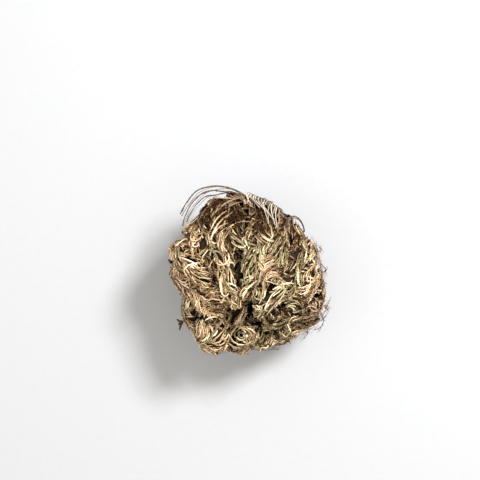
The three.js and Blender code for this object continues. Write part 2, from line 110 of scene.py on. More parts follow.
# The bare stems. A path runs round the ball: angle round the axis, angle up from the bottom, distance.
STEM_FLATTEN = 0.82
BARE_STEMS = [
    dict(path=[(84, 12, 44), (92.5, 27, 45), (97, 38, 45.8), (103, 47.5, 44.3), (110.5, 54.5, 44.5),
               (117.5, 59.5, 46.6), (123, 63, 48.7), (128, 67.5, 50), (133.5, 72, 51.2),
               (139.5, 75.5, 51.5), (145, 76, 50)],
         twigs=0, fork=3, strands=2, girth=1.15),
    dict(path=[(99.5, 12, 44.2), (101.5, 27, 44.3), (105.5, 39, 44.5), (112.5, 49.5, 43.9),
               (119.5, 58, 44.6), (123.5, 65, 46.8), (127, 70, 47.7), (131, 75, 48), (136, 79, 48.7),
               (140.5, 82, 46.7), (145, 84.5, 44)],
         twigs=0, fork=3, strands=1, girth=0.9),
    dict(path=[(113.5, 12, 44.3), (112.5, 27, 44.9), (114, 39.5, 44), (118.7, 52.7, 43.8),
               (123.2, 63.8, 44.2), (125.3, 71.8, 45.3), (128.5, 77.2, 45.6), (132.5, 81, 46.2),
               (137.5, 83, 45.6), (141, 83.5, 44)],
         twigs=0, fork=2.2, strands=1, girth=0.8),
    dict(path=[(74, 12.7, 44.8), (79.5, 27, 44.9), (89.5, 44.5, 44.4), (99, 61.5, 44.2), (94.5, 71, 44.2),
               (79, 82, 44.5), (63, 88.5, 44.3)],
         twigs=9, fork=4, strands=0, girth=1.1),
    dict(path=[(48, 15, 44), (44, 27.5, 44.8), (41.5, 45.5, 44.6), (38.9, 66.1, 44.7), (41.3, 75.5, 45.1),
               (44.6, 79.8, 45.4), (48.3, 84.5, 45.2), (51.9, 89, 44.8), (54.2, 94.5, 44.5),
               (53.5, 99.5, 44.4), (51.5, 103, 44.4)],
         twigs=0, fork=2, strands=2, girth=0.9),
    dict(path=[(205.5, 20, 44.3), (213, 31.5, 44), (220.5, 45, 43.9), (223.5, 62, 45.5), (225, 72, 45.4),
               (224.5, 79.5, 45), (220.5, 87.5, 46.1), (216.5, 93, 49.3)],
         twigs=0, fork=5, strands=0, girth=2.3),
]
TWIG_TURN = -11.0
TWIG_RISE = 17.0
TWIG_OUT = 44.2

# The wiry roots, a fan of them and three behind, and the lumps of the root mat, two of them behind.
ROOT_COUNT = 11
ROOT_FAN = 8
ROOT_OUT = 44.3
ROOT_SIDE = (-78.0, 18.0)
ROOT_BEHIND = 150
ROOT_BEHIND_STEP = 50
ROOT_LOWEST = 16
MAT_LUMPS = 11
MAT_BEHIND = 2
MAT_RING = 8.0
MAT_LUMP = 6.4
MAT_SUNK = 0.62
MAT_BEHIND_OUT = 11.5
MAT_BEHIND_UP = 6.5
CROWN_FOOT = -39.0

# ---------------------------------------------------------------- finer values, only in the looks

# Pinnae, barbs and strays: how they leave their parents and turn, and how far the pinnae go along the rib.
GOLDEN_TURN = math.radians(137.5)
PINNA_START = math.radians(50)
PINNA_END = math.radians(6)
PINNA_SLANT = math.radians(22)
PINNA_CURL = math.radians(26)
BARB_START = math.radians(42)
BARB_END = math.radians(-6)
BARB_SLANT = math.radians(24)
BARB_CURL = math.radians(76)
STRAY_TURN = math.radians(150)
STRAY_CURL = math.radians(70)
STRAY_LENGTHS = (5, 12)
RINGLETS_OVER = 0.6
RINGLET_TURN = (110, 260)
PINNAE_BEFORE = 2.0
PINNAE_SHORT_OF = 2.5
STRAIGHT = 1e-3
FIST_CLOSING = 18.0
OVERLAP = 2.2
WEDGE_MARGIN = 0.8
SHINGLE = 0.2
PROBE = 0.02
RUFFLE = ((16.0, 0.3), (8.5, 0.4))

# Their bodies and scale leaves. Size scales an axis and its leaves, and core is how far from its middle the
# leaves start. A leaf has four corners: base, tip and two wings.
RIB_SIZE = dict(size=1.15, core=0.45)
PINNA_SIZE = dict(size=1.0, core=0.38)
BARB_SIZE = dict(size=0.88, core=0.32)
STRAY_SIZE = dict(size=0.72, core=0.16)
RIB_RADII = (0.72, 0.2)
RIB_SPACING = 1.1
RIB_SIDES = 6
RIB_LEAF_SPACING = 0.3
STRAND_STEPS = 5
CURLED_STEPS = 8
CURLED_TURN = 2.4
STRAND_SIDES = 5
LEAF_LEAST = 0.85
LEAF_SPREAD = 0.3
LEAF_SHRINKING = 0.32
LEAF_KEEL = (0.42, 0.2)
LEAF_TIP = 0.9
LEAF_FACES = np.array([[0, 1, 2], [0, 3, 1], [0, 2, 3], [1, 3, 2]])
LEAF_TIPS = (0.0, 1.0, 0.45, 0.45)
SPIRAL_SPREAD = 6.28
# A dark sheet of painted shade under the pinnae: its reach to each side as a share of theirs, how ragged it
# is, its columns and its thickness in mm.
PAINTED_SHADE_SHEET_REACH = 0.72
PAINTED_SHADE_SHEET_RAGGED = 0.22
PAINTED_SHADE_SHEET_COLUMNS = 9
PAINTED_SHADE_SHEET_THICKNESS = 0.3

# Bands across the ball, in mm, over which a leaf colour comes or goes, and its darker patches as seen from
# above: depth, middle and radius.
OLIVE_FROM_LEFT = (-18, 6)
OLIVE_TO_BACK = (8, 28)
OLIVE_TO_RIGHT = (30, 46)
BROWN_TO_BACK = (10, 34)
BROWN_TO_RIGHT = (34, 58)
DARKER_BROWN_TO_FLOOR = (20, 46)
PALE_TO_LEFT = (-24, 0)
PALE_PATCH = ((0, -37), 11)
SHADE_TO_BACK = (2, 22)
SHADE_PATCHES = (
    (0.26, (2, 21), 14), (0.25, (20, -31), 12), (0.2, (36, -18), 18), (0.3, (9, 26), 9),
    (0.36, (-13, 25), 11),
)

# Tips that lie coiled or swept on top of the others. Each has its frond, the middle and facing of a domed
# patch and a number of arcs. Radii, heading (where an arc starts round the middle) and turn (how far it
# runs) go from one value to another. Age, hue, contrast and loose are how old, how green, how uneven and
# how scattered the arcs are.
COILS = (
    dict(frond="frond_outer_01", middle=(-2.0, -38.3, 52.5), facing=(0.0, -0.45, 0.88), arcs=24,
         radii=(1.8, 8.2), heading=(0.5, 17.0), turn=(0.9, 2.0),
         age=-0.1, hue=0.45, contrast=0.9, loose=3.6),
    dict(frond="frond_outer_06", middle=(14.6, -10.0, 70.0), facing=(0.3, -0.15, 0.94), arcs=15,
         radii=(3.4, 10.5), heading=(2.2, 3.3), turn=(1.3, 2.2),
         age=0.25, hue=-0.8, contrast=0.7, loose=3.6),
    dict(frond="frond_outer_03", middle=(22.6, -25.5, 61.5), facing=(0.35, -0.35, 0.87), arcs=20,
         radii=(2.6, 9.5), heading=(1.7, 2.0), turn=(1.4, 2.6),
         age=0.0, hue=0.5, contrast=1.2, loose=3.6),
    dict(frond="frond_outer_08", middle=(-2.7, 11.2, 72.0), facing=(0.0, 0.03, 1.0), arcs=24,
         radii=(12.0, 20.5), heading=(3.25, 3.4), turn=(0.45, 1.1),
         age=0.3, hue=-0.3, contrast=1.9, loose=9.0),
    dict(frond="frond_outer_11", middle=(-15.2, -38.6, 62.5), facing=(-0.4, -0.4, 0.82), arcs=20,
         radii=(12.0, 20.0), heading=(2.8, 2.9), turn=(0.6, 1.25),
         age=0.0, hue=-0.1, contrast=1.3, loose=5.0),
    dict(frond="frond_outer_05", middle=(13.0, 20.0, 65.5), facing=(0.36, 0.44, 0.8), arcs=13,
         radii=(3.0, 9.5), heading=(4.5, 5.2), turn=(0.7, 1.2),
         age=0.5, hue=-0.8, contrast=1.8, loose=3.6),
)
COIL_DOME = 26.0

# Bare stems: their bodies, the strands beside them, the stubs, the long twigs and the three forks.
STEM_RADII = (0.6, 0.26)
STEM_STEPS = 90
STEM_SIDES = 7
STRAND_GAPS = (0.02, 0.042)
STUBS = 46
STUB_PLACES = (0.1, 0.97)
STUB_RADII = (0.24, 0.1)
STUB_SIDES = 4
COMB_STEPS = 6
TWIG_PLACES = (0.5, 0.97)
TWIG_REACH = (0.7, 2.0)
TWIG_BEND = (3, 9)
TWIG_RADII = (0.25, 0.55)
TWIG_THINNING = 0.45
TWIG_PALENESS = (0.5, 1.0)
TWIG_DARKNESS = 0.05
TWIG_STEPS = 8
TWIG_SIDES = 5
FORK_RADII = (0.42, 0.16)
FORK_PLACES = np.array([0.84, 0.94, 0.94])
FORK_SIDES = (1.0, 0.7, -0.7)
FORK_LENGTHS = np.array([0.8, 1.0, 1.0])

# Crown, roots and their fibres.
CROWN_STEPS = 70
CROWN_SIDES = 60
LUMP_RINGS = 18
LUMP_SIDES = 26
ROOT_REACH = (78, 110)
ROOT_REACH_BEHIND = (48, 60)
ROOT_RADII = (0.5, 0.16)
ROOT_POINTS = 7
ROOT_STEPS = 60
ROOT_SIDES = 6
ROOTLET_LENGTHS = (2.0, 5.0)
ROOTLET_LONGER = 6
ROOTLET_RADII = (0.17, 0.06)
FIBRE_LENGTHS = (4, 11)
FIBRE_RADII = (0.3, 0.09)
FIBRE_STEPS = 7
FIBRE_SIDES = 3
FIBRE_HEIGHT = 0.2
BASE_RADII = (0.75, 0.3)
BASE_STEPS = 6
BASE_SIDES = 5
ANY_WAY = (0.31, 0.52, 0.79)

# Leaf colours: how strongly noise patches and specks act, and from where rust, worn and pale places show.
PATCH_STRENGTH = 2.6
SPECK_STRENGTH = 1.5
RUST_FROM = 0.63
RUST_SHARPNESS = 7.0
# A low tint darkens leaves towards the shadow colour: partly the leaves' own tone, partly painted shade
# that the tint carries.
SHADOW_STRENGTH = 1.8
# Pale tips and high tints: partly bleached tone, partly painted highlight on the lit tops that the tint
# carries.
TIP_PALENESS = 0.4
PALE_FROM = 0.55
PALE_STRENGTH = 0.6
WORN_FROM = 0.45
WORN_SHARPNESS = 5.0
BARK_CONTRAST = 1.4
BARK_DARKNESS = 0.45
LEAF_GLOSS = 0.12

# Scales of the noise in the materials, per metre.
PATCH_SCALE = 130.0
RUST_SCALE = 210.0
WORN_SCALE = 260.0
SPECK_SCALE = 620.0
LEAF_GRAIN_SCALE = 1400.0
FLOOR_GRAIN_SCALE = 60.0

# The stage, in metres.
FLOOR_HALF = 3.0
VIEW_MIDDLE = (-3.78 * MM, 12.28 * MM, CENTRE_HEIGHT * MM)
KEY_PLACE = (0.42, 0.38, 0.8)
KEY_SIZE = 0.24
KEY_COLOUR = (0.99, 0.99, 1.0)
FILL_PLACE = (-0.7, -0.2, 0.6)
FILL_SIZE = 0.7
FILL_COLOUR = (0.97, 0.98, 1.0)
SKY_COLOUR = (1.0, 0.955, 0.89)


# ---------------------------------------------------------------- the settled ball

def draw(number, kind):
    """A fixed random number from 0 to 1 for each numbered thing; kind tells its uses apart."""
    wave = np.sin(np.asarray(number, float) * 127.1 + kind * 311.7) * 43758.5453
    return wave - np.floor(wave)


def smooth(value, low, high):
    """0 below low, 1 above high and a soft step between."""
    share = np.clip((value - low) / (high - low), 0, 1)
    return share * share * (3 - 2 * share)


def mix(a, b, share):
    """From a to b."""
    return a + (b - a) * share


def unit(vectors):
    """The vectors at length 1."""
    return vectors / np.maximum(np.linalg.norm(vectors, axis=-1, keepdims=True), 1e-9)


def square_to(vectors, way):
    """The part of the vectors that is square to a way of length 1."""
    return vectors - (vectors * way).sum(-1, keepdims=True) * way


def sides_in_turn(number):
    """One side, 1, for odd numbers and the other, -1, for even ones."""
    return np.where(number % 2, 1.0, -1.0)


def taper(thick, thin, steps):
    """Radii from thick to thin in even steps."""
    return mix(thick, thin, np.linspace(0, 1, steps))


def outline_at(angle):
    """Radius of the ball seen from above, on a smooth closed curve through OUTLINE."""
    count = len(OUTLINE)
    place = np.mod(angle / (2 * math.pi) * count, count)
    first = np.floor(place).astype(int)
    along = place - first
    a, b, c, d = (OUTLINE[(first + step) % count] for step in (-1, 0, 1, 2))
    return b + 0.5 * along * (c - a + along * (2 * a - 5 * b + 4 * c - d + along * (3 * (b - c) + d - a)))


def settle(points, swirl=STEM_SWIRL):
    """Moves points of the upright layout to their places in the settled ball: swirled, leant, lumpy."""
    x, y, z = points[..., 0], points[..., 1], points[..., 2]
    rise = z / HALF_HEIGHT
    turn = math.radians(swirl) * rise
    nod = np.maximum(0, rise) ** 2
    nodded_x = x * np.cos(turn) - y * np.sin(turn) - NOD[0] * nod
    nodded_y = x * np.sin(turn) + y * np.cos(turn) - NOD[1] * nod
    lean = math.radians(LEAN)
    leant_y = nodded_y * math.cos(lean) - z * math.sin(lean)
    leant_z = nodded_y * math.sin(lean) + z * math.cos(lean)
    reach = (nodded_x ** 2 + leant_y ** 2) / WAIST ** 2
    swell = outline_at(np.arctan2(leant_y, nodded_x)) / WAIST - 1
    scale = 1 + swell * reach / (reach + OUTLINE_EASE)
    x = nodded_x * scale
    y = leant_y * scale
    wave = 2 * math.pi / LUMP_LENGTH
    return np.stack([
        x + LUMP * np.sin(wave * (y + 0.6 * leant_z) + 1.1),
        y + LUMP * np.sin(wave * (leant_z - 0.7 * x) + 2.6) - REST_BEHIND,
        leant_z + 0.7 * LUMP * np.sin(wave * (x + 0.5 * y) + 0.4) + CENTRE_HEIGHT,
    ], axis=-1)


def tousle(points):
    """Waves that drying puts into the fronds: shifts over the ball's surface, alike for all neighbours."""
    x, y, z = points[..., 0], points[..., 1], points[..., 2]
    shift = np.zeros_like(points)
    for turn, (length, height) in enumerate(TOUSLE + RUFFLE):
        wave = 2 * math.pi / length
        a, b, c = 1.3 * turn, 2.1 * turn + 1, 0.7 * turn + 2
        shift[..., 0] += height * np.sin(wave * (y + 0.5 * z) + a) * np.cos(0.7 * wave * x + b)
        shift[..., 1] += height * np.sin(wave * (z - 0.6 * x) + b) * np.cos(0.7 * wave * y + c)
        shift[..., 2] += height * np.sin(wave * (x + 0.4 * y) + c) * np.cos(0.7 * wave * z + a)
    return square_to(shift, unit(points - BALL_MIDDLE))


def on_ellipse(around, up, waist, height):
    """A point on an ellipse round the axis: around it, and up from the bottom, in degrees."""
    around, up = np.radians(around), np.radians(up)
    distance = waist * np.sin(up)
    return np.stack([distance * np.cos(around), distance * np.sin(around), -height * np.cos(up)], axis=-1)


# ---------------------------------------------------------------- meshes

class Shape:
    """Triangles gathered for one object, with a material slot for each and values for each corner."""

    VALUES = ("tint", "tip", "green", "age")

    def __init__(self):
        self.points = []
        self.triangles = []
        self.slots = []
        self.values = {name: [] for name in self.VALUES}
        self.count = 0

    def add(self, points, triangles, slot=0, **values):
        """Adds points (n, 3) and triangles (m, 3); a value may be one number or one for each point."""
        self.points.append(points)
        self.triangles.append(triangles + self.count)
        self.slots.append(np.full(len(triangles), slot))
        for name in self.VALUES:
            self.values[name].append(np.broadcast_to(values.get(name, 0.5), (len(points),)))
        self.count += len(points)

    def add_tubes(self, paths, radii, sides, tint, slot=0, age=0.5):
        """Adds closed tubes along paths (count, steps, 3); the tint is one number or one for each tube."""
        points, triangles, size = tubes(paths, radii, sides)
        tint = np.repeat(np.broadcast_to(tint, (len(paths),)), size)
        self.add(points, triangles, slot=slot, tint=tint, age=age)

    def mesh(self, name, materials):
        """The mesh, in metres, with nothing under the floor."""
        points = np.concatenate(self.points)
        points[:, 2] = np.maximum(points[:, 2], 0)
        triangles = np.concatenate(self.triangles).astype(np.int32)
        mesh = bpy.data.meshes.new(name)
        mesh.vertices.add(len(points))
        mesh.vertices.foreach_set("co", (points * MM).astype(np.float32).ravel())
        mesh.loops.add(triangles.size)
        mesh.loops.foreach_set("vertex_index", triangles.ravel())
        mesh.polygons.add(len(triangles))
        mesh.polygons.foreach_set("loop_start", np.arange(0, triangles.size, 3, dtype=np.int32))
        mesh.polygons.foreach_set("material_index", np.concatenate(self.slots).astype(np.int32))
        mesh.polygons.foreach_set("use_smooth", np.full(len(triangles), True))
        for key, parts in self.values.items():
            attribute = mesh.attributes.new(key, "FLOAT", "POINT")
            attribute.data.foreach_set("value", np.concatenate(parts).astype(np.float32))
        for material in materials:
            mesh.materials.append(material)
        mesh.update()
        return mesh

    def build(self, name, materials, *nodes, slot):
        """The object, which rides on the plant and stands for its nodes."""
        piece = bpy.data.objects.new(name, self.mesh(name, materials))
        bpy.context.scene.collection.objects.link(piece)
        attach(piece, BODY)
        if nodes:
            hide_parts(*nodes)
        return piece


def tubes(paths, radii, sides):
    """Closed round tubes along paths (count, steps, 3), as points, triangles and the points of one tube."""
    count, steps = paths.shape[:2]
    radii = np.broadcast_to(radii, (count, steps))
    tangent = unit(np.gradient(paths, axis=1))
    across = [unit(np.cross(tangent[:, 0], ANY_WAY))]
    for step in range(1, steps):
        across.append(unit(square_to(across[-1], tangent[:, step])))
    across = np.stack(across, axis=1)
    beside = np.cross(tangent, across)
    angle = np.arange(sides) * 2 * math.pi / sides
    ring = across[:, :, None] * np.cos(angle)[:, None] + beside[:, :, None] * np.sin(angle)[:, None]
    return skinned(paths, radii[:, :, None, None] * ring)


def skinned(paths, rings):
    """Closed tubes from rings (count, steps, sides, 3) round paths; each end runs to a middle point."""
    count, steps, sides = rings.shape[:3]
    walls = (paths[:, :, None] + rings).reshape(count, steps * sides, 3)
    points = np.concatenate([walls, paths[:, :1], paths[:, -1:]], axis=1)
    size = steps * sides + 2
    triangles = closed_walls(steps, sides)[None] + np.arange(count)[:, None, None] * size
    return points.reshape(-1, 3), triangles.reshape(-1, 3), size


def closed_walls(steps, sides):
    """Triangles between rings of points and, at both ends, to the two points numbered after all rings."""
    here = np.arange(sides)
    following = (here + 1) % sides
    first = steps * sides
    top = first - sides
    start_cap = np.stack([np.full(sides, first), following, here], axis=-1)
    end_cap = np.stack([np.full(sides, first + 1), here + top, following + top], axis=-1)
    return np.concatenate([ring_walls(steps, sides), start_cap, end_cap])


def ring_walls(steps, sides):
    """Triangles between rings of points, which are numbered one ring after the other."""
    here = np.arange(sides)
    rows = np.arange(steps - 1)[:, None] * sides
    a, b = rows + here, rows + (here + 1) % sides
    return np.concatenate([
        np.stack([a, b, b + sides], axis=-1).reshape(-1, 3),
        np.stack([a, b + sides, a + sides], axis=-1).reshape(-1, 3),
    ])


# ---------------------------------------------------------------- fronds

class Frond:
    """One frond: its wedge of a layer, its rib, and the ball's place for what lies along and beside it."""

    def __init__(self, layer_name, number, wedge, middle, end, curl):
        layer = LAYERS[layer_name]
        self.layer = layer
        self.name = f"frond_{layer_name}_{number + 1:02d}"
        self.seed = 100 * list(LAYERS).index(layer_name) + number
        self.hue = 0.5 * (draw(self.seed, 91) - 0.5)
        self.middle = math.radians(middle)
        self.half_wedge = math.radians(wedge / 2)
        self.trace_rib(math.radians(end), curl)

    def trace_rib(self, end, curl):
        """The middle line in the frond's own upright plane: round its ellipse, then rolled up inwards."""
        waist, height = self.layer["waist"], self.layer["height"]
        angle = np.arange(math.asin(self.layer["foot"] / waist), end, math.radians(1))
        out = waist * np.sin(angle)
        up = self.layer["lift"] - height * np.cos(angle)
        heading = np.arctan2(height * np.sin(angle), waist * np.cos(angle))
        length = np.concatenate([[0], np.cumsum(np.hypot(np.diff(out), np.diff(up)))])
        rows = [np.stack([length, out, up, heading, np.full(len(angle), WIDEST_RADIUS)], axis=1)]
        slow = 1 / math.hypot(waist * math.cos(end), height * math.sin(end))
        along, out, up, heading = length[-1], out[-1], up[-1], heading[-1]
        roll_from = along
        turned = 0.0
        while turned < CURL_TURN:
            radius = curl * mix(1, CURL_INSIDE, turned / CURL_TURN)
            bend = mix(slow, 1 / radius, float(smooth(along - roll_from, 0, CURL_EASE)))
            turn = bend * RIB_STEP
            out += math.cos(heading + turn / 2) * RIB_STEP
            up += math.sin(heading + turn / 2) * RIB_STEP
            heading += turn
            turned += turn
            along += RIB_STEP
            rows.append([[along, out, up, heading, min(WIDEST_RADIUS, 1 / bend)]])
        self.rib = np.concatenate(rows).T
        self.length = along
        self.leaf_from = self.rib[0][np.argmax(self.rib[3] >= math.radians(self.layer["bare"]))]

    def draws(self, count, kind):
        """Fixed random numbers from 0 to 1 for this frond's own repeats."""
        return draw(np.arange(count) + 1000 * self.seed, kind)

    def place(self, along, aside, out_of):
        """The settled place of a point along the rib, aside of it and outward from it."""
        along = np.clip(along, 0, self.length)
        out, up, heading, radius = (np.interp(along, self.rib[0], row) for row in self.rib[1:])
        wave = along * 2 * math.pi / SWAY_LENGTH + 6 * draw(self.seed, 51)
        aside = aside + SWAY * np.sin(wave) * smooth(along, *SWAYS_FROM)
        lift = out_of + SHINGLE * aside + 0.5 * np.sin(2 * wave + 1)
        arch = self.layer["arch"] * np.minimum(1, radius / ARCH_RADIUS) * (ARCH_LEAST + along / self.length)
        lift = lift - arch * np.minimum(ARCH_WIDEST, np.abs(aside / self.layer["half_width"])) ** 2
        out = out + np.sin(heading) * lift
        up = up - np.cos(heading) * lift
        limit = np.maximum(1.0, out * math.tan(self.half_wedge) + OVERLAP + WEDGE_MARGIN)
        aside = aside / (1 + np.abs(aside / limit) ** 4) ** 0.25
        settled = settle(np.stack([
            out * math.cos(self.middle) - aside * math.sin(self.middle),
            out * math.sin(self.middle) + aside * math.cos(self.middle),
            up,
        ], axis=-1), FROND_SWIRL)
        return settled + smooth(along, *TOUSLED_FROM)[..., None] * tousle(settled)

    def reach_at(self, along):
        """How far the pinnae reach from the rib, and no further than the wedge."""
        opening = smooth(along, self.leaf_from - 1, self.leaf_from + 14)
        closing = np.clip((self.length - along) / FIST_CLOSING, 0, 1)
        widest = mix(BARE_HALF_WIDTH, self.layer["half_width"], opening)
        reach = mix(TIP_HALF_WIDTH, widest, closing ** 0.8)
        out = np.interp(along, self.rib[0], self.rib[1])
        return np.minimum(reach, np.maximum(0.8, out * math.tan(self.half_wedge) + OVERLAP))


def frond_plan(layer_name):
    """The fronds of a layer, each with its wedge, where it starts to roll and how tightly."""
    layer = LAYERS[layer_name]
    level = list(LAYERS).index(layer_name)
    number = np.arange(layer["count"])
    gap = 1 + WEDGE_SPREAD * (draw(number, 3 + level) - 0.5)
    wedge = 360 * gap / gap.sum()
    middle = layer["turn"] + np.cumsum(wedge) - wedge / 2
    long = draw(number, 7 + level) * 0.45 + np.where(number % 2, 0, 0.55)
    end = mix(*layer["end"], long) + LONGER_BEHIND * np.sin(np.radians(middle))
    curl = layer["curl"] * (0.92 + 0.16 * draw(number, 11 + level))
    return [Frond(layer_name, i, wedge[i], middle[i], end[i], curl[i]) for i in number]


class Twigs:
    """Leafy axes on a frond. Each bends evenly from one angle to another, measured from the rib."""

    FIELDS = ("along", "aside", "out_of", "start", "end", "length", "sink", "size", "core", "tint", "age")

    def __init__(self, **fields):
        count = len(fields["along"])
        for name in self.FIELDS:
            setattr(self, name, np.broadcast_to(fields.get(name, 0.0), (count,)).astype(float))

    def at(self, which, share):
        """Along, aside and out of the frond, and the angle, at a share of the length of chosen twigs."""
        start, bend = self.start[which], (self.end - self.start)[which]
        angle = start + bend * share
        reach = self.length[which] / bend
        along = self.along[which] + reach * (np.sin(angle) - np.sin(start))
        aside = self.aside[which] + reach * (np.cos(start) - np.cos(angle))
        out_of = self.out_of[which] - self.sink[which] * share ** 2
        return along, aside, out_of, angle

    def only(self, chosen):
        """Those of these twigs that are chosen."""
        return Twigs(**{name: getattr(self, name)[chosen] for name in self.FIELDS})

    def joined(self, *others):
        """These twigs and others as one."""
        groups = (self, *others)
        return Twigs(**{
            name: np.concatenate([getattr(group, name) for group in groups]) for name in self.FIELDS
        })


def numbered(counts):
    """For things in groups of the given counts: the group of each thing, and its number in that group."""
    which = np.repeat(np.arange(len(counts)), counts)
    return which, np.arange(counts.sum()) - (np.cumsum(counts) - counts)[which]


def on_bend(start, end):
    """How far an axis of length 1 that bends evenly from one angle to another goes along and aside."""
    turn = start - end
    return (math.sin(start) - math.sin(end)) / turn, (math.cos(end) - math.cos(start)) / turn


def pinnae_of(frond, form):
    """The two rows of pinnae, which lean forward along the rib; a few of them are lost."""
    half_pitch = form.pinna_pitch / 2
    along = np.arange(frond.leaf_from - PINNAE_BEFORE, frond.length - PINNAE_SHORT_OF, half_pitch)
    count = len(along)
    side = sides_in_turn(np.arange(count))
    along = along + (frond.draws(count, 61) - 0.5) * half_pitch
    forwards, sideways = on_bend(PINNA_START, PINNA_END)
    ahead = np.minimum(along + 0.8 * forwards * frond.reach_at(along) / sideways, frond.length)
    length = frond.reach_at(ahead) / sideways * (0.72 + 0.5 * frond.draws(count, 63))
    length = np.maximum(2.0, np.minimum(length, (frond.length - along) / forwards + 1.2))
    slant = PINNA_SLANT * (frond.draws(count, 62) - 0.5)
    curl = PINNA_CURL * (frond.draws(count, 69) - 0.5)
    kept = frond.draws(count, 64) > form.lost_pinnae
    return Twigs(
        along=along,
        aside=0.25 * side,
        out_of=1.5 * (frond.draws(count, 65) - 0.5),
        start=side * (PINNA_START + slant),
        end=side * (PINNA_END + curl),
        length=length,
        sink=mix(-0.8, 1.5, frond.draws(count, 66)),
        tint=frond.draws(count, 67) - 0.5,
        age=frond.draws(count, 68) - 0.5,
        **PINNA_SIZE,
    ).only(kept)


def barbs_of(frond, parents, form, kind):
    """Short leafy barbs that leave their parents to both sides in turn and lean along them."""
    pitch = form.barb_pitch * frond.layer["sparse"]
    rows = np.maximum(1, np.round(parents.length / pitch)).astype(int)
    which, order = numbered(rows)
    count = len(which)
    draws = [frond.draws(count, kind + step) for step in range(7)]
    share = (order + 0.1 + 0.7 * draws[0]) / rows[which]
    along, aside, out_of, angle = parents.at(which, share)
    leafy = (along > frond.leaf_from - 3) & (along < frond.length - 1)
    side = sides_in_turn(order + which)
    length = form.barb_length * (1 - 0.4 * share) * (0.6 + 0.75 * draws[1])
    room = frond.reach_at(along) + 1.0 - np.abs(aside)
    outward = np.sign(aside) * side > 0
    length = length * np.where(outward, np.clip(room / 2.5, 0.4, 1), 1)
    length = np.maximum(1.2, np.minimum(length, frond.length - along + 1))
    return Twigs(
        along=along,
        aside=aside,
        out_of=out_of,
        start=angle + side * (BARB_START + BARB_SLANT * (draws[2] - 0.5)),
        end=angle + side * (BARB_END + BARB_CURL * (draws[3] - 0.5)),
        length=length,
        sink=mix(-0.9, 1.3, draws[4]),
        tint=0.4 * parents.tint[which] + (draws[5] - 0.5),
        age=0.6 * parents.age[which] + 0.6 * (draws[6] - 0.5),
        **BARB_SIZE,
    ).only(leafy)


def strays_of(frond, form):
    """Thin branchlets that have worked loose and lie across the others; some are curled to ringlets."""
    count = int(form.strays * (frond.length - frond.leaf_from) / 10)
    draws = [frond.draws(count, 71 + step) for step in range(8)]
    along = mix(frond.leaf_from + 3, frond.length - 6, draws[0])
    start = STRAY_TURN * (draws[1] - 0.5)
    ringlet = np.sign(start) * np.radians(mix(*RINGLET_TURN, draws[2])) * (draws[4] > RINGLETS_OVER)
    return Twigs(
        along=along,
        aside=1.2 * (draws[2] - 0.5) * frond.reach_at(along),
        out_of=0.5 + 0.8 * draws[3],
        start=start,
        end=start * 0.3 + STRAY_CURL * (draws[4] - 0.5) + 0.03 + ringlet,
        length=mix(*STRAY_LENGTHS, draws[5]),
        sink=mix(-0.2, 0.8, draws[6]),
        tint=draws[7] - 0.3,
        age=draws[6] - 0.5,
        **STRAY_SIZE,
    )


def patch(x, y, middle, radius):
    """1 at the middle of a round patch seen from above, and 0 from its radius on."""
    return 1 - smooth(np.hypot(x - middle[0], y - middle[1]), 0, radius)


def leaf_colours(frond, along, places, twigs, which):
    """Tint, greenness and age of each leaf, from its place in the ball, its frond and its twig."""
    x, y, z = places.T
    olive = 0.8 * smooth(x + 0.1 * y, *OLIVE_FROM_LEFT) * (1 - smooth(y, *OLIVE_TO_BACK))
    olive = olive * (1 - smooth(x - 0.3 * y, *OLIVE_TO_RIGHT))
    green = olive + frond.hue + 0.8 * twigs.age[which]
    brown = 0.7 * smooth(y + 0.15 * x, *BROWN_TO_BACK) + 0.45 * smooth(x - 0.5 * y, *BROWN_TO_RIGHT)
    old = 1 - smooth(along, frond.leaf_from - 2, frond.leaf_from + 18)
    # Leaves are browner and darker towards the floor.
    deep = 1 - smooth(z, *DARKER_BROWN_TO_FLOOR)
    own = 0.3 * (draw(frond.seed, 92) - 0.5) + 0.5 * twigs.age[which] + 0.35 * ("lower" in frond.name)
    age = brown + 0.5 * old + 0.25 * deep + own
    bright = 0.6 + 0.1 * (1 - smooth(x, *PALE_TO_LEFT)) + 0.14 * patch(x, y, *PALE_PATCH)
    shade = 0.32 * smooth(y + 0.2 * x, *SHADE_TO_BACK)
    for depth, middle, radius in SHADE_PATCHES:
        shade = shade + depth * patch(x, y, middle, radius)
    return bright - shade + twigs.tint[which], green, age


def facing_of(frond, along, aside, out_of, base, forward):
    """The ways outward and sideways at bases of twigs that run forward there."""
    outward = frond.place(along, aside, out_of + PROBE) - base
    outward = unit(square_to(outward, forward))
    return outward, np.cross(outward, forward)


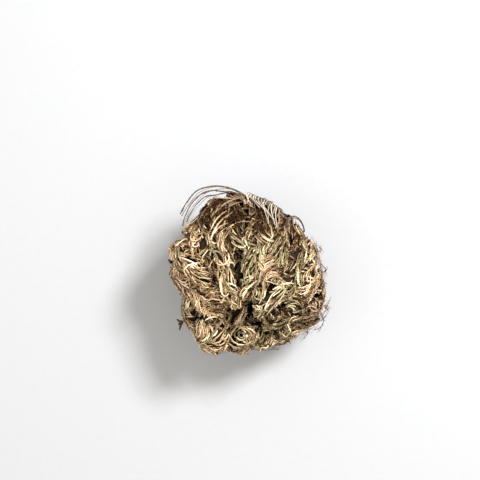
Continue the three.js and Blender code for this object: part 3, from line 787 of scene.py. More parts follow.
def add_leaves(shape, frond, twigs, spacing, form):
    """Scale leaves in a spiral round each twig, overlapping like tiles and flattened into the frond."""
    count = np.maximum(2, np.round(twigs.length / spacing)).astype(int)
    which, order = numbered(count)
    number = np.arange(len(which))
    share = (order + 0.3) / count[which]
    along, aside, out_of, angle = twigs.at(which, share)

    base = frond.place(along, aside, out_of)
    ahead = frond.place(along + PROBE * np.cos(angle), aside + PROBE * np.sin(angle), out_of)
    forward = unit(ahead - base)
    outward, lateral = facing_of(frond, along, aside, out_of, base, forward)

    turn = order * GOLDEN_TURN + SPIRAL_SPREAD * draw(which, 95 + frond.seed)
    cosine, sine = np.cos(turn)[:, None], np.sin(turn)[:, None]
    away = lateral * cosine + outward * sine * form.flatness
    size = (form.leaf_length * twigs.size[which] * (1 - LEAF_SHRINKING * share))[:, None]
    size = size * (LEAF_LEAST + LEAF_SPREAD * draw(number, 96)[:, None])
    wing = unit(np.cross(away, forward)) * (size * form.leaf_width / 2)
    base = base + twigs.core[which][:, None] * (lateral * cosine + outward * sine)
    keel = base + size * (LEAF_KEEL[0] * forward + LEAF_KEEL[1] * away)
    tip = base + size * (LEAF_TIP * forward + form.spread * away)
    points = np.stack([base, tip, keel + wing, keel - wing], axis=1)
    corners = points.shape[1]

    tint, green, age = leaf_colours(frond, along, base, twigs, which)
    # Painted shade: darker towards each twig's base, where the others overlap it; painted light and shade
    # round it: lighter on top, darker underneath.
    tint = tint - form.painted_base_shade * (1 - share) ** 2 + form.painted_side_shade * (sine[:, 0] - 0.4)
    tint = tint + form.speckle * (draw(number, 97) - 0.5)
    shape.add(
        points.reshape(-1, 3),
        (LEAF_FACES[None] + corners * number[:, None, None]).reshape(-1, 3),
        tint=np.repeat(tint, corners),
        tip=np.tile(LEAF_TIPS, len(which)),
        green=np.repeat(green, corners),
        age=np.repeat(age, corners),
    )


def add_strands(shape, frond, twigs, form):
    """The bodies of all branchlets; tightly curled ones have more steps."""
    curled = np.abs(twigs.end - twigs.start) > CURLED_TURN
    for chosen, steps in ((~curled, STRAND_STEPS), (curled, CURLED_STEPS)):
        if chosen.any():
            add_bodies(shape, frond, twigs.only(chosen), steps, form)


def add_bodies(shape, frond, twigs, steps, form):
    """The rounded, flattened body of each branchlet, under its scale leaves."""
    share = np.linspace(0, 1, steps)
    which = np.repeat(np.arange(len(twigs.along)), steps).reshape(-1, steps)
    along, aside, out_of, _ = twigs.at(which, share[None])
    path = frond.place(along, aside, out_of)
    forward = unit(np.gradient(path, axis=1))
    outward, lateral = facing_of(frond, along, aside, out_of, path, forward)
    width = form.strand_width / 2 * twigs.size[which] * (0.75 + share - 1.5 * share ** 3)
    turn = np.arange(STRAND_SIDES) * 2 * math.pi / STRAND_SIDES + math.pi / 2
    cosine, sine = np.cos(turn)[:, None], np.sin(turn)[:, None]
    rings = lateral[:, :, None] * cosine + form.flatness * outward[:, :, None] * sine
    points, triangles, _ = skinned(path, width[..., None, None] * rings)

    def spread(value, around=0.0):
        """A value on each step of each strand, given to the points of its ring and of the strand's ends."""
        value = value.reshape(which.shape)
        ring = (value[:, :, None] + np.broadcast_to(around, STRAND_SIDES)).reshape(len(value), -1)
        return np.concatenate([ring, value[:, :1], value[:, -1:]], axis=1).ravel()

    tint, green, age = leaf_colours(frond, along.ravel(), path.reshape(-1, 3), twigs, which.ravel())
    # Painted shade: darker towards each branchlet's base; below, painted light and shade round each ring:
    # lighter on top, darker underneath.
    tint = tint.reshape(which.shape) - form.painted_base_shade * (1 - share) ** 2
    shape.add(
        points,
        triangles,
        tint=spread(tint, form.painted_side_shade * (np.sin(turn) - 0.4)),
        tip=spread(np.broadcast_to(0.7 * share, which.shape)),
        green=spread(green),
        age=spread(age),
    )


class Coil:
    """A domed patch over a frond, where the arcs of a coiled tip lie."""

    def __init__(self, frond, coil):
        self.name = frond.name
        self.seed = frond.seed + 50
        self.hue = coil["hue"]
        self.leaf_from = -20.0
        self.coil = coil
        self.facing = unit(np.array(coil["facing"]))
        self.across = unit(np.cross((0.0, 1.0, 0.0), self.facing))
        self.upward = np.cross(self.facing, self.across)

    def place(self, along, aside, out_of):
        """The place of a point of the patch, from its middle along, aside and out of it."""
        height = np.asarray(out_of - (along ** 2 + aside ** 2) / (2 * COIL_DOME))[..., None]
        flat = np.asarray(along)[..., None] * self.across + np.asarray(aside)[..., None] * self.upward
        return np.array(self.coil["middle"]) + flat + height * self.facing

    def arcs(self):
        """The arcs round the middle, one inside the other."""
        coil = self.coil
        number = np.arange(coil["arcs"])
        step = number / (coil["arcs"] - 1)
        number = number + 1000 * self.seed
        radius = mix(*coil["radii"], step) * mix(0.8, 1.25, draw(number, 161))
        heading = mix(*coil["heading"], step) + 0.7 * (draw(number, 162) - 0.5)
        turn = mix(*coil["turn"], draw(number, 163))
        return Twigs(
            along=radius * np.sin(heading) + coil["loose"] * (draw(number, 168) - 0.5),
            aside=-radius * np.cos(heading) + coil["loose"] * (draw(number, 169) - 0.5),
            out_of=1.2 * (draw(number, 164) - 0.5),
            start=heading,
            end=heading + turn,
            length=radius * turn,
            sink=mix(0.0, 1.5, draw(number, 165)),
            size=mix(0.6, 0.95, draw(number, 160)),
            core=0.25,
            tint=coil["contrast"] * (draw(number, 166) - 0.5),
            age=coil["age"] + 0.5 * (draw(number, 167) - 0.5),
        )


def add_painted_shade_sheet(shape, frond, form):
    """Painted shade under the pinnae: a thin, ragged, closed dark sheet, which the plant doesn't have, so
    that the gaps between the pinnae show dark; it lets no light through.
    """
    rows = np.arange(frond.leaf_from, frond.length - 0.5, form.painted_shade_sheet_step)
    columns = np.linspace(-1, 1, PAINTED_SHADE_SHEET_COLUMNS)
    number = np.arange(len(rows) * len(columns)).reshape(len(rows), len(columns)) + 5000 * frond.seed
    reach = frond.reach_at(rows)[:, None] * (PAINTED_SHADE_SHEET_REACH + PAINTED_SHADE_SHEET_RAGGED * draw(number, 57))
    along = rows[:, None] + 0.5 * np.abs(columns)[None] * reach + 0.6 * (draw(number, 58) - 0.5)
    aside = columns[None] * reach
    depth = form.painted_shade_sheet_depth + 0.7 * (draw(number, 59) - 0.5)
    top = frond.place(along, aside, -depth).reshape(-1, 3)
    bottom = frond.place(along, aside, -depth - PAINTED_SHADE_SHEET_THICKNESS).reshape(-1, 3)
    count = len(columns)
    row, column = np.meshgrid(np.arange(len(rows) - 1), np.arange(count - 1), indexing="ij")
    corner = (row * count + column).ravel()
    upper = np.concatenate([
        np.stack([corner, corner + 1, corner + count + 1], axis=-1),
        np.stack([corner, corner + count + 1, corner + count], axis=-1),
    ])
    edge = rim_of(len(rows), count)
    after = np.roll(edge, -1)
    lower = len(top)
    walls = np.concatenate([
        np.stack([edge, after + lower, after], axis=-1),
        np.stack([edge, edge + lower, after + lower], axis=-1),
    ])
    triangles = np.concatenate([upper, upper[:, ::-1] + lower, walls])
    shape.add(np.concatenate([top, bottom]), triangles, slot=2, tint=0.5, age=1.0)


def rim_of(rows, columns):
    """The numbers of a grid's corners all round its edge."""
    grid = np.arange(rows * columns).reshape(rows, columns)
    return np.concatenate([grid[0, :-1], grid[:-1, -1], grid[-1, :0:-1], grid[:0:-1, 0]])


def frond_piece(frond, form, materials, slot):
    """A whole frond: rib, pinnae and branchlets under their scale leaves, over a dark sheet of painted
    shade.
    """
    shape = Shape()
    along = np.linspace(0, frond.length, int(frond.length / RIB_SPACING))
    path = frond.place(along, 0.0 * along, 0.0 * along)
    shape.add_tubes(path[None], mix(*RIB_RADII, along / frond.length), RIB_SIDES,
                    0.4 + 0.3 * draw(frond.seed, 93), slot=1, age=0.6)

    rib = Twigs(along=np.zeros(1), end=STRAIGHT, length=frond.length, age=0.6, **RIB_SIZE)
    pinnae = pinnae_of(frond, form)
    barbs = barbs_of(frond, pinnae, form, kind=20)
    rib_barbs = barbs_of(frond, rib, form, kind=30)
    strands = pinnae.joined(barbs, rib_barbs, strays_of(frond, form))
    add_strands(shape, frond, strands, form)
    add_leaves(shape, frond, rib, RIB_LEAF_SPACING, form)
    add_leaves(shape, frond, strands, form.leaf_spacing, form)
    add_painted_shade_sheet(shape, frond, form)
    for coil in COILS:
        if coil["frond"] == frond.name:
            patch_over = Coil(frond, coil)
            arcs = patch_over.arcs()
            add_strands(shape, patch_over, arcs, form)
            add_leaves(shape, patch_over, arcs, form.leaf_spacing, form)
    return shape.build("leafy_" + frond.name, materials, frond.name, slot=slot)


# ---------------------------------------------------------------- bare stems

def through(controls, shares):
    """Points on a centripetal Catmull-Rom curve through the controls, at shares of it."""
    controls = np.asarray(controls, float)
    ends = [2 * controls[0] - controls[1], 2 * controls[-1] - controls[-2]]
    padded = np.concatenate([ends[:1], controls, ends[1:]])
    place = np.clip(shares, 0, 1) * (len(controls) - 1)
    first = np.minimum(np.floor(place).astype(int), len(controls) - 2)
    along = (place - first)[:, None]
    a, b, c, d = (padded[first + step] for step in range(4))
    gaps = ((a, b), (b, c), (c, d))
    before, here, after = (np.sqrt(np.linalg.norm(q - p, axis=1))[:, None] for p, q in gaps)
    leave = here * ((b - a) / before - (c - a) / (before + here) + (c - b) / here)
    arrive = here * ((c - b) / here - (d - b) / (here + after) + (d - c) / after)
    return (b + leave * along + (3 * (c - b) - 2 * leave - arrive) * along ** 2
            + (2 * (b - c) + leave + arrive) * along ** 3)


def stem_route(stem):
    """The control points of a bare stem, in the upright layout."""
    around, up, out = np.array(stem["path"], float).T
    return on_ellipse(around, up, out, out * STEM_FLATTEN)


def comb_twigs(route, shares, side, length):
    """Curved twigs that leave a bare stem to one side (1 or -1), as settled paths."""
    root = through(route, shares)
    forward = unit(through(route, shares + 0.05) - through(route, shares - 0.02))
    inward = -unit(root)
    aside = np.cross(forward, inward) * np.asarray(side, float)[:, None]
    length = np.asarray(length, float)[:, None, None]
    share = np.linspace(0, 1, COMB_STEPS)[None, :, None]
    way = (0.8 * forward + aside)[:, None]
    bent = (0.5 * forward + 0.3 * aside + 0.3 * inward)[:, None]
    return settle(root[:, None] + length * (0.78 * way * share + 0.35 * (bent - 0.4 * way) * share ** 2))


def twigs_over_ball(route, shares, reach, bend):
    """Twigs that leave a stem at shares of it and lie over the ball, as settled paths.

    Reach is how far they run, as a share of TWIG_RISE, and bend adds to TWIG_TURN.
    """
    x, y, z = through(route, shares).T
    across = np.hypot(x, y)
    around = np.degrees(np.arctan2(y, x))[:, None]
    up = np.degrees(np.arctan2(across, -z / STEM_FLATTEN))[:, None]
    along = np.linspace(0, 1, TWIG_STEPS)[None]
    out = mix(np.hypot(across, z / STEM_FLATTEN)[:, None], TWIG_OUT, along)
    along = along * np.asarray(reach)[:, None]
    turn = (TWIG_TURN + np.asarray(bend)[:, None]) * along ** 2
    return settle(on_ellipse(around + turn, up + TWIG_RISE * along, out, out * STEM_FLATTEN))


def add_stem_strands(shape, index, stem, route, tint):
    """The knotty body of a bare stem, and the thinner strands that part from it towards its tip."""
    share = np.linspace(0, 1, STEM_STEPS)
    line = through(route, share)
    knots = 1 + 0.16 * np.sin(share * 140 + index) * np.sin(share * 31 + 2)
    radii = stem["girth"] * mix(*STEM_RADII, share ** 0.7) * knots
    shape.add_tubes(settle(line)[None], radii, STEM_SIDES, tint)
    split = smooth(share, 0.3, 0.75)[:, None]
    for strand, gap in enumerate(STRAND_GAPS[:stem["strands"]]):
        wave = 0.012 * np.sin(9 * share + 2 * strand + index)[:, None]
        beside = line * (1 - split * (gap + wave))
        shape.add_tubes(settle(beside)[None], 0.5 * radii, STRAND_SIDES,
                        0.2 + 0.6 * draw(strand + 3 * index, 107))


def add_stubs(shape, index, route):
    """Short stubs of lost pinnae, to both sides of a bare stem in turn."""
    order = np.arange(STUBS)
    number = order + 100 * index
    place = mix(*STUB_PLACES, (order + 0.6 * draw(number, 102)) / STUBS)
    stubs = comb_twigs(route, place, sides_in_turn(order), 0.9 + 1.7 * draw(number, 103) ** 2)
    shape.add_tubes(stubs, taper(*STUB_RADII, COMB_STEPS), STUB_SIDES, draw(number, 104))


def add_long_twigs(shape, stem, route):
    """Long thin twigs, most of them bleached, that lie over the ball beside a comb-like stem."""
    number = np.arange(3 * stem["twigs"])
    place = mix(*TWIG_PLACES, (number + 0.9 * draw(number, 109)) / len(number))
    reach = mix(*TWIG_REACH, draw(number, 105))
    bend = mix(*TWIG_BEND, draw(number, 110))
    twigs = twigs_over_ball(route, place, reach, bend)
    girth = mix(*TWIG_RADII, draw(number, 108))[:, None]
    pale = np.where(number % 3 != 1, mix(*TWIG_PALENESS, draw(number, 112)), TWIG_DARKNESS)
    shape.add_tubes(twigs, girth * taper(1.0, TWIG_THINNING, TWIG_STEPS), TWIG_SIDES, pale, slot=1)


def bare_stem_piece(index, stem, materials):
    """An old stem without leaves: tapered and knotty, with stubs of its pinnae and a forked tip."""
    shape = Shape()
    route = stem_route(stem)
    bark_tone = max(0.62 - 0.34 * stem["girth"], 0.0)
    add_stem_strands(shape, index, stem, route, bark_tone)
    add_stubs(shape, index, route)
    if stem["twigs"]:
        add_long_twigs(shape, stem, route)
    forks = comb_twigs(route, FORK_PLACES, FORK_SIDES, stem["fork"] * FORK_LENGTHS)
    shape.add_tubes(forks, stem["girth"] * taper(*FORK_RADII, COMB_STEPS), TWIG_SIDES, bark_tone)
    return shape.build(f"old_stem_{index + 1}", materials, f"bare_stem_{index + 1}", slot="bare_stem")


# ---------------------------------------------------------------- crown and roots

def root_routes():
    """The wiry roots' points in the upright layout, spread over one side and with three behind."""
    routes = []
    share = np.linspace(0, 1, ROOT_POINTS)
    for i in range(ROOT_COUNT):
        if i < ROOT_FAN:
            around = mix(*ROOT_SIDE, i / (ROOT_FAN - 1))
            reach = mix(*ROOT_REACH, draw(i, 41))
        else:
            around = ROOT_BEHIND + ROOT_BEHIND_STEP * (i - ROOT_FAN)
            reach = mix(*ROOT_REACH_BEHIND, draw(i, 41))
        out = ROOT_OUT + 3.2 * np.sin(math.pi * share) * draw(i, 42) + 2 * share * draw(i, 43)
        sway = 5 * np.sin(2.5 * share * math.pi + i) * share
        routes.append(on_ellipse(around + sway, mix(ROOT_LOWEST, reach, share), out, out * STEM_FLATTEN))
    return routes


def wandering(start, heading, length, steps, wobble, seed):
    """Fibres that start at points of the settled ball with a heading and wander: (count, steps, 3)."""
    count = len(start)
    path = [start]
    way = unit(heading)
    number = np.arange(count) + 1000 * seed
    for step in range(1, steps):
        turn = np.stack([draw(number, 110 + 3 * step + axis) - 0.5 for axis in range(3)], axis=1)
        way = unit(way + wobble * turn)
        path.append(path[-1] + way * (length / (steps - 1))[:, None])
    return np.stack(path, axis=1)


def held_near(paths, middle, most):
    """The paths, with each point drawn in to no further from the middle than most."""
    off = paths - middle
    far = np.linalg.norm(off, axis=-1, keepdims=True)
    return middle + off / far * np.minimum(far, most)


def rootlets_on(route, index, form):
    """Fine rootlets along one wiry root, held close to the ball; half of them are long and lie on it."""
    number = np.arange(form.rootlets) + 200 * index
    place = mix(0.12, 1.0, draw(number, 131))
    root = settle(through(route, place))
    ahead = settle(through(route, np.minimum(1, place + 0.01)))
    behind = settle(through(route, place - 0.01))
    forward = unit(ahead - behind)
    outward = unit(root - BALL_MIDDLE)
    lateral = np.cross(forward, outward)
    side = sides_in_turn(number)[:, None]
    long = number // 2 % 2
    lift = (0.8 * draw(number, 132) - 0.3 - 0.3 * long)[:, None]
    heading = 0.6 * forward + side * lateral + lift * outward
    length = mix(*ROOTLET_LENGTHS, draw(number, 133)) + ROOTLET_LONGER * long
    paths = wandering(root, heading, length, FIBRE_STEPS, 0.75, 3 + index)
    height = np.linalg.norm(root - BALL_MIDDLE, axis=-1)
    most = (height + (form.root_fuzz - 2.6 * long))[:, None, None]
    return held_near(paths, BALL_MIDDLE, most)


def wiry_roots_piece(form, materials):
    """The wiry roots and their rootlets, every third of them bleached."""
    shape = Shape()
    share = np.linspace(0, 1, ROOT_STEPS)
    for index, route in enumerate(root_routes()):
        ripple = 0.25 * np.sin(share * 55 + index)[:, None] * np.array([0.6, 0.5, 0.4])
        path = settle(through(route, share)) + ripple
        radii = mix(*ROOT_RADII, share) * (1 + 0.2 * np.sin(share * 90 + index))
        shape.add_tubes(path[None], radii, ROOT_SIDES, 0.2 + 0.5 * draw(index, 134))
        fibres = rootlets_on(route, index, form)
        number = np.arange(len(fibres))
        tint = 0.25 + 0.75 * draw(number + 50 * index, 135)
        bleached = number % 3 == 0
        for slot, chosen in enumerate((~bleached, bleached)):
            radii = taper(*ROOTLET_RADII, FIBRE_STEPS)
            shape.add_tubes(fibres[chosen], radii, FIBRE_SIDES, tint[chosen], slot=slot)
    return shape.build("wiry_roots", materials, slot="root")


def mat_lumps():
    """Middle and radius of each lump of the root mat, where it rests."""
    lumps = []
    ring = MAT_LUMPS - MAT_BEHIND
    for i in range(MAT_LUMPS):
        radius = MAT_LUMP * (0.92 + 0.18 * draw(i, 33))
        if i < ring:
            around = math.radians(40 * i + 12 * draw(i, 31))
            out, up = MAT_RING * (0.92 + 0.16 * draw(i, 32)), radius * MAT_SUNK
        else:
            around = math.radians(60 + 60 * (i - ring))
            out, up = MAT_BEHIND_OUT, MAT_BEHIND_UP
        lumps.append([out * math.cos(around), out * math.sin(around), up, radius])
    return np.array(lumps)


def round_body(rings, sides):
    """A closed ball of radius 1 as points and triangles."""
    polar = np.linspace(0, math.pi, rings + 1)[1:-1, None]
    turn = np.arange(sides)[None] * 2 * math.pi / sides
    flat = np.sin(polar)
    walls = np.stack([flat * np.cos(turn), flat * np.sin(turn), np.cos(polar) + 0 * turn], axis=-1)
    points = np.concatenate([walls.reshape(-1, 3), [[0, 0, 1], [0, 0, -1]]])
    return points, closed_walls(rings - 1, sides)[:, [0, 2, 1]]


def crown_profile():
    """The crown's profile round the axis, from below to its top."""
    seats = []
    for layer in LAYERS.values():
        tilt = math.asin(layer["foot"] / layer["waist"])
        seats.append((layer["foot"] - 0.4, layer["lift"] - layer["height"] * math.cos(tilt)))
    steps = [(out, up + rise) for out, up in seats for rise in (-1.4, 1.2)]
    return np.array([
        (0.01, CROWN_FOOT), (seats[0][0] - 1, CROWN_FOOT), *steps, (1.6, -12), (0.01, -11.5),
    ])


def add_crown(shape):
    """The short woody crown: its profile turned round the axis and furrowed."""
    profile = crown_profile()
    place = np.linspace(0, len(profile) - 1, CROWN_STEPS)
    out, up = (np.interp(place, np.arange(len(profile)), column)[:, None] for column in profile.T)
    turn = np.arange(CROWN_SIDES) * 2 * math.pi / CROWN_SIDES
    furrows = np.sin(9 * turn + 0.5 * up)
    out = out * (1 + 0.05 * furrows + 0.05 * np.sin(up * 2.6 + 3 * turn))
    walls = np.stack([out * np.cos(turn), out * np.sin(turn), up + 0 * out], axis=-1)
    shape.add(settle(walls.reshape(-1, 3)), ring_walls(CROWN_STEPS, CROWN_SIDES), tint=0.35)


def add_lumps(shape, lumps):
    """The knobbly lumps of the root mat."""
    ball, faces = round_body(LUMP_RINGS, LUMP_SIDES)
    for i, (x, y, z, radius) in enumerate(lumps):
        bumps = 0.06 * np.sin(7 * ball[:, 0] + i) * np.sin(6 * ball[:, 1] + 2 * i)
        bumps = 1 + bumps + 0.04 * np.sin(15 * ball[:, 2])
        points = ball * (radius * bumps)[:, None] + (x, y, z)
        shape.add(points, faces, tint=0.2 + 0.3 * draw(i, 141))


def add_mat_fibres(shape, lumps, form):
    """Fibres that start on the lumps of the root mat and wander close over them."""
    number = np.arange(form.mat_fibres)
    lump = lumps[(number * 7) % len(lumps)]
    polar = np.arccos(mix(0.35, -0.85, draw(number, 142)))
    turn = 2 * math.pi * draw(number, 143)
    outward = np.stack([np.sin(polar) * np.cos(turn), np.sin(polar) * np.sin(turn), np.cos(polar)], axis=1)
    start = lump[:, :3] + outward * lump[:, 3:] * 0.97
    sideways = unit(np.cross(outward, np.stack([draw(number, 144 + k) - 0.5 for k in range(3)], axis=1)))
    length = mix(*FIBRE_LENGTHS, draw(number, 148))
    paths = wandering(start, sideways + 0.25 * outward, length, FIBRE_STEPS, 0.9, 40)
    most = lump[:, None, 3:] * (1.12 + 0.12 * draw(number, 149))[:, None, None]
    paths = held_near(paths, lump[:, None, :3], most)
    paths[..., 2] = np.maximum(paths[..., 2], FIBRE_HEIGHT)
    shape.add_tubes(paths, taper(*FIBRE_RADII, FIBRE_STEPS), FIBRE_SIDES, draw(number, 150))


def add_old_bases(shape, form):
    """Broken bases of old fronds, which leave the crown like the fronds of each layer."""
    number = np.arange(form.old_bases)
    level = number % len(LAYERS)
    waist, height, lift, foot = (
        np.array([layer[key] for layer in LAYERS.values()], float)[level][:, None]
        for key in ("waist", "height", "lift", "foot")
    )
    begin = np.degrees(np.arcsin(foot / waist)) - 4
    reach = (8 + 22 * draw(number, 152) ** 2) * np.where(level == 0, 0.6, 1)
    share = np.linspace(0, 1, BASE_STEPS)[None]
    up = np.radians(mix(begin, begin + reach[:, None], share))
    bulge = 1.5 * draw(number, 153)[:, None] + 0.4
    out = (waist + bulge) * np.sin(up)
    z = lift - (height + bulge) * np.cos(up)
    around = 360 * draw(number, 151)[:, None] + 6 * (draw(number, 154)[:, None] - 0.5) * share
    turn = np.radians(around)
    paths = settle(np.stack([out * np.cos(turn), out * np.sin(turn), z], axis=-1))
    shape.add_tubes(paths, taper(*BASE_RADII, BASE_STEPS), BASE_SIDES, 0.7 * draw(number, 155))


def root_mat_piece(form, material):
    """The woody crown and the mat of roots that the ball rests on, under their fibres."""
    shape = Shape()
    lumps = mat_lumps()
    add_crown(shape)
    add_lumps(shape, lumps)
    add_mat_fibres(shape, lumps, form)
    add_old_bases(shape, form)
    return shape.build("crown_and_root_mat", [material], "root_crown", slot="root")


# ---------------------------------------------------------------- materials

def node(tree, kind, inputs=None, **settings):
    """A shader node with its settings; an input that is a socket is linked, and any other is set."""
    made = tree.nodes.new("ShaderNode" + kind)
    for name, value in settings.items():
        setattr(made, name, value)
    for key, value in (inputs or {}).items():
        if isinstance(value, bpy.types.NodeSocket):
            tree.links.new(value, made.inputs[key])
        else:
            made.inputs[key].default_value = value
    return made


def maths(tree, operation, first, second, clamp=False):
    """The output of a Math node."""
    return node(tree, "Math", {0: first, 1: second}, operation=operation, use_clamp=clamp).outputs[0]


def blended(tree, share, first, second):
    """The colour output of a Mix node."""
    return node(tree, "Mix", {"Factor": share, 6: first, 7: second}, data_type="RGBA").outputs[2]


def reading(tree, name):
    """The value that a mesh holds under a name."""
    return node(tree, "Attribute", attribute_name=name).outputs["Fac"]


def noise(tree, scale, detail=2.0):
    """Noise in the plant's own space, from 0 to 1; scale is per metre."""
    place = node(tree, "TexCoord").outputs["Object"]
    return node(tree, "TexNoise", {"Vector": place, "Scale": scale, "Detail": detail}).outputs["Fac"]


def new_group(name, inputs, outputs):
    """An empty shader node group with named sockets; returns it with its input and output nodes."""
    group = bpy.data.node_groups.new(name, "ShaderNodeTree")
    for side, sockets in (("INPUT", inputs), ("OUTPUT", outputs)):
        for socket_name, kind, default in sockets:
            made = group.interface.new_socket(socket_name, in_out=side, socket_type="NodeSocket" + kind)
            if default is not None:
                made.default_value = default
    return group, group.nodes.new("NodeGroupInput"), group.nodes.new("NodeGroupOutput")


def leaf_cast_group():
    """Colour of dry scale leaves: straw to olive, browner with age, pale at the tips, rusty in patches,
    with painted shade and highlight through the tint.
    """
    white = (1.0, 1.0, 1.0, 1.0)
    colour_names = ("Straw", "Olive", "Umber", "Pale", "Rust", "Shadow")
    group, given, made = new_group(
        "Leaf Cast",
        [*((name, "Color", white) for name in colour_names), ("Depth", "Float", 0.5)],
        [("Color", "Color", None), ("Dryness", "Float", None)],
    )
    straw, olive, umber, pale, rust, shadow, depth = (given.outputs[i] for i in range(7))
    patches = maths(group, "SUBTRACT", noise(group, PATCH_SCALE), 0.5)
    specks = maths(group, "SUBTRACT", noise(group, SPECK_SCALE), 0.5)
    patches = maths(group, "MULTIPLY", patches, PATCH_STRENGTH)
    specks = maths(group, "MULTIPLY", specks, SPECK_STRENGTH)
    green = maths(group, "ADD", reading(group, "green"), patches, clamp=True)
    age = maths(group, "ADD", reading(group, "age"), specks, clamp=True)
    rusty = maths(group, "SUBTRACT", noise(group, RUST_SCALE, 1.0), RUST_FROM, clamp=True)
    rusty = maths(group, "MULTIPLY", rusty, RUST_SHARPNESS, clamp=True)
    colour = blended(group, green, straw, olive)
    colour = blended(group, rusty, colour, rust)
    colour = blended(group, age, colour, umber)
    tint = reading(group, "tint")
    # A low tint darkens towards the shadow colour: partly the leaves' own tone, partly the painted shade
    # that the tint carries.
    dim = maths(group, "SUBTRACT", 0.5, tint, clamp=True)
    dim = maths(group, "MULTIPLY", dim, SHADOW_STRENGTH, clamp=True)
    colour = blended(group, dim, colour, shadow)
    # Tips and leaves with a high tint go paler: partly bleached tone, partly painted highlight on the lit
    # tops that the tint carries.
    tip = maths(group, "MULTIPLY", maths(group, "MULTIPLY", reading(group, "tip"), tint), TIP_PALENESS)
    bleached = maths(group, "SUBTRACT", tint, PALE_FROM, clamp=True)
    bleached = maths(group, "MULTIPLY", bleached, PALE_STRENGTH)
    colour = blended(group, maths(group, "ADD", tip, bleached, clamp=True), colour, pale)
    # The tint also scales the brightness: the leaves' own tone together with painted light and shade.
    bright = maths(group, "MULTIPLY", maths(group, "MAXIMUM", tint, 0.0), depth)
    level = maths(group, "SUBTRACT", 1.0, maths(group, "MULTIPLY", depth, 0.5))
    light = maths(group, "ADD", bright, level)
    scaled = node(group, "VectorMath", {0: colour, "Scale": light}, operation="SCALE").outputs[0]
    group.links.new(scaled, made.inputs["Color"])
    group.links.new(age, made.inputs["Dryness"])
    return group


def dry_grain_group():
    """Fine dry grain: a height, and a mask of worn, paler places."""
    group, given, made = new_group(
        "Dry Grain",
        [("Scale", "Float", 900.0), ("Wear", "Float", 0.5)],
        [("Height", "Float", None), ("Worn", "Float", None)],
    )
    height = noise(group, given.outputs["Scale"], 4.0)
    worn = maths(group, "SUBTRACT", noise(group, WORN_SCALE), WORN_FROM, clamp=True)
    worn = maths(group, "MULTIPLY", worn, WORN_SHARPNESS)
    worn = maths(group, "MULTIPLY", worn, given.outputs["Wear"], clamp=True)
    group.links.new(height, made.inputs["Height"])
    group.links.new(worn, made.inputs["Worn"])
    return group


def placed_group(tree, name, **values):
    """A node that holds a shared node group with this material's values; the group is made at first use."""
    makers = {"Leaf Cast": leaf_cast_group, "Dry Grain": dry_grain_group}
    group = bpy.data.node_groups.get(name) or makers[name]()
    return node(tree, "Group", values, node_tree=group)


def new_material(name):
    """A material with only its output and a Principled shader; returns it and the shader."""
    material = bpy.data.materials.new(name)
    material.use_nodes = True
    material.node_tree.nodes.clear()
    shader = node(material.node_tree, "BsdfPrincipled")
    output = node(material.node_tree, "OutputMaterial")
    material.node_tree.links.new(shader.outputs[0], output.inputs["Surface"])
    return material, shader


def give_bump(tree, shader, height, strength, distance):
    """Feeds a height through a Bump node."""
    bump = node(tree, "Bump", {"Height": height, "Strength": strength, "Distance": distance})
    tree.links.new(bump.outputs["Normal"], shader.inputs["Normal"])


def solid(colour):
    """A colour property as a socket's four numbers."""
    return (*colour, 1.0)


def leaf_material(name, colours, olive):
    """Dry, papery scale leaves; olive is the colour of the greener ones."""
    material, shader = new_material(name)
    tree = material.node_tree
    cast = placed_group(
        tree, "Leaf Cast", Straw=solid(colours.straw), Olive=solid(olive), Umber=solid(colours.umber),
        Pale=solid(colours.pale_tip), Rust=solid(colours.rust), Shadow=solid(colours.shadow),
        Depth=colours.contrast,
    )
    grain = placed_group(tree, "Dry Grain", Scale=LEAF_GRAIN_SCALE, Wear=0.3)
    tree.links.new(cast.outputs["Color"], shader.inputs["Base Color"])
    rough = maths(tree, "ADD", maths(tree, "MULTIPLY", cast.outputs["Dryness"], 0.2), 0.56)
    tree.links.new(rough, shader.inputs["Roughness"])
    shader.inputs["Specular IOR Level"].default_value = LEAF_GLOSS
    give_bump(tree, shader, grain.outputs["Height"], 0.35, 0.0002)
    return material


def bark_material(name, dark, worn_colour, scale, wear, roughness):
    """Dry bark or root skin: dark with paler worn places, and uneven from strand to strand."""
    material, shader = new_material(name)
    tree = material.node_tree
    grain = placed_group(tree, "Dry Grain", Scale=scale, Wear=wear)
    share = maths(tree, "MULTIPLY", reading(tree, "tint"), BARK_CONTRAST)
    share = maths(tree, "SUBTRACT", share, BARK_DARKNESS)
    share = maths(tree, "ADD", share, grain.outputs["Worn"], clamp=True)
    colour = blended(tree, share, solid(dark), solid(worn_colour))
    tree.links.new(colour, shader.inputs["Base Color"])
    rough = maths(tree, "ADD", maths(tree, "MULTIPLY", grain.outputs["Worn"], 0.15), roughness)
    tree.links.new(rough, shader.inputs["Roughness"])
    give_bump(tree, shader, grain.outputs["Height"], 0.5, 0.0003)
    return material


def shared_material(name, colours):
    """A material by name, made the first time it is asked for."""
    if name in bpy.data.materials:
        return bpy.data.materials[name]
    if name.endswith("_leaves"):
        return leaf_material(name, colours, colours.umber if name == "lower_leaves" else colours.olive)
    dark, worn, scale, wear, roughness = {
        # Near black: the sheet of painted shade under the pinnae.
        "lining": ((0.009, 0.004, 0.0015), (0.028, 0.012, 0.005), 900.0, 0.4, 0.9),
        "rib_bark": ((0.13, 0.085, 0.045), (0.42, 0.3, 0.16), 1100.0, 0.6, 0.62),
        "old_stem_bark": (colours.stem, (0.36, 0.27, 0.2), 1300.0, 0.5, 0.6),
        "bleached_twigs": (colours.stem, (0.8, 0.71, 0.56), 1300.0, 0.2, 0.6),
        "bleached_roots": (colours.stem, (0.8, 0.6, 0.48), 1500.0, 0.2, 0.7),
        "root_skin": (colours.root, (0.47, 0.3, 0.2), 1500.0, 0.4, 0.7),
    }[name]
    return bark_material(name, dark, worn, scale, wear, roughness)


# ---------------------------------------------------------------- what a user changes

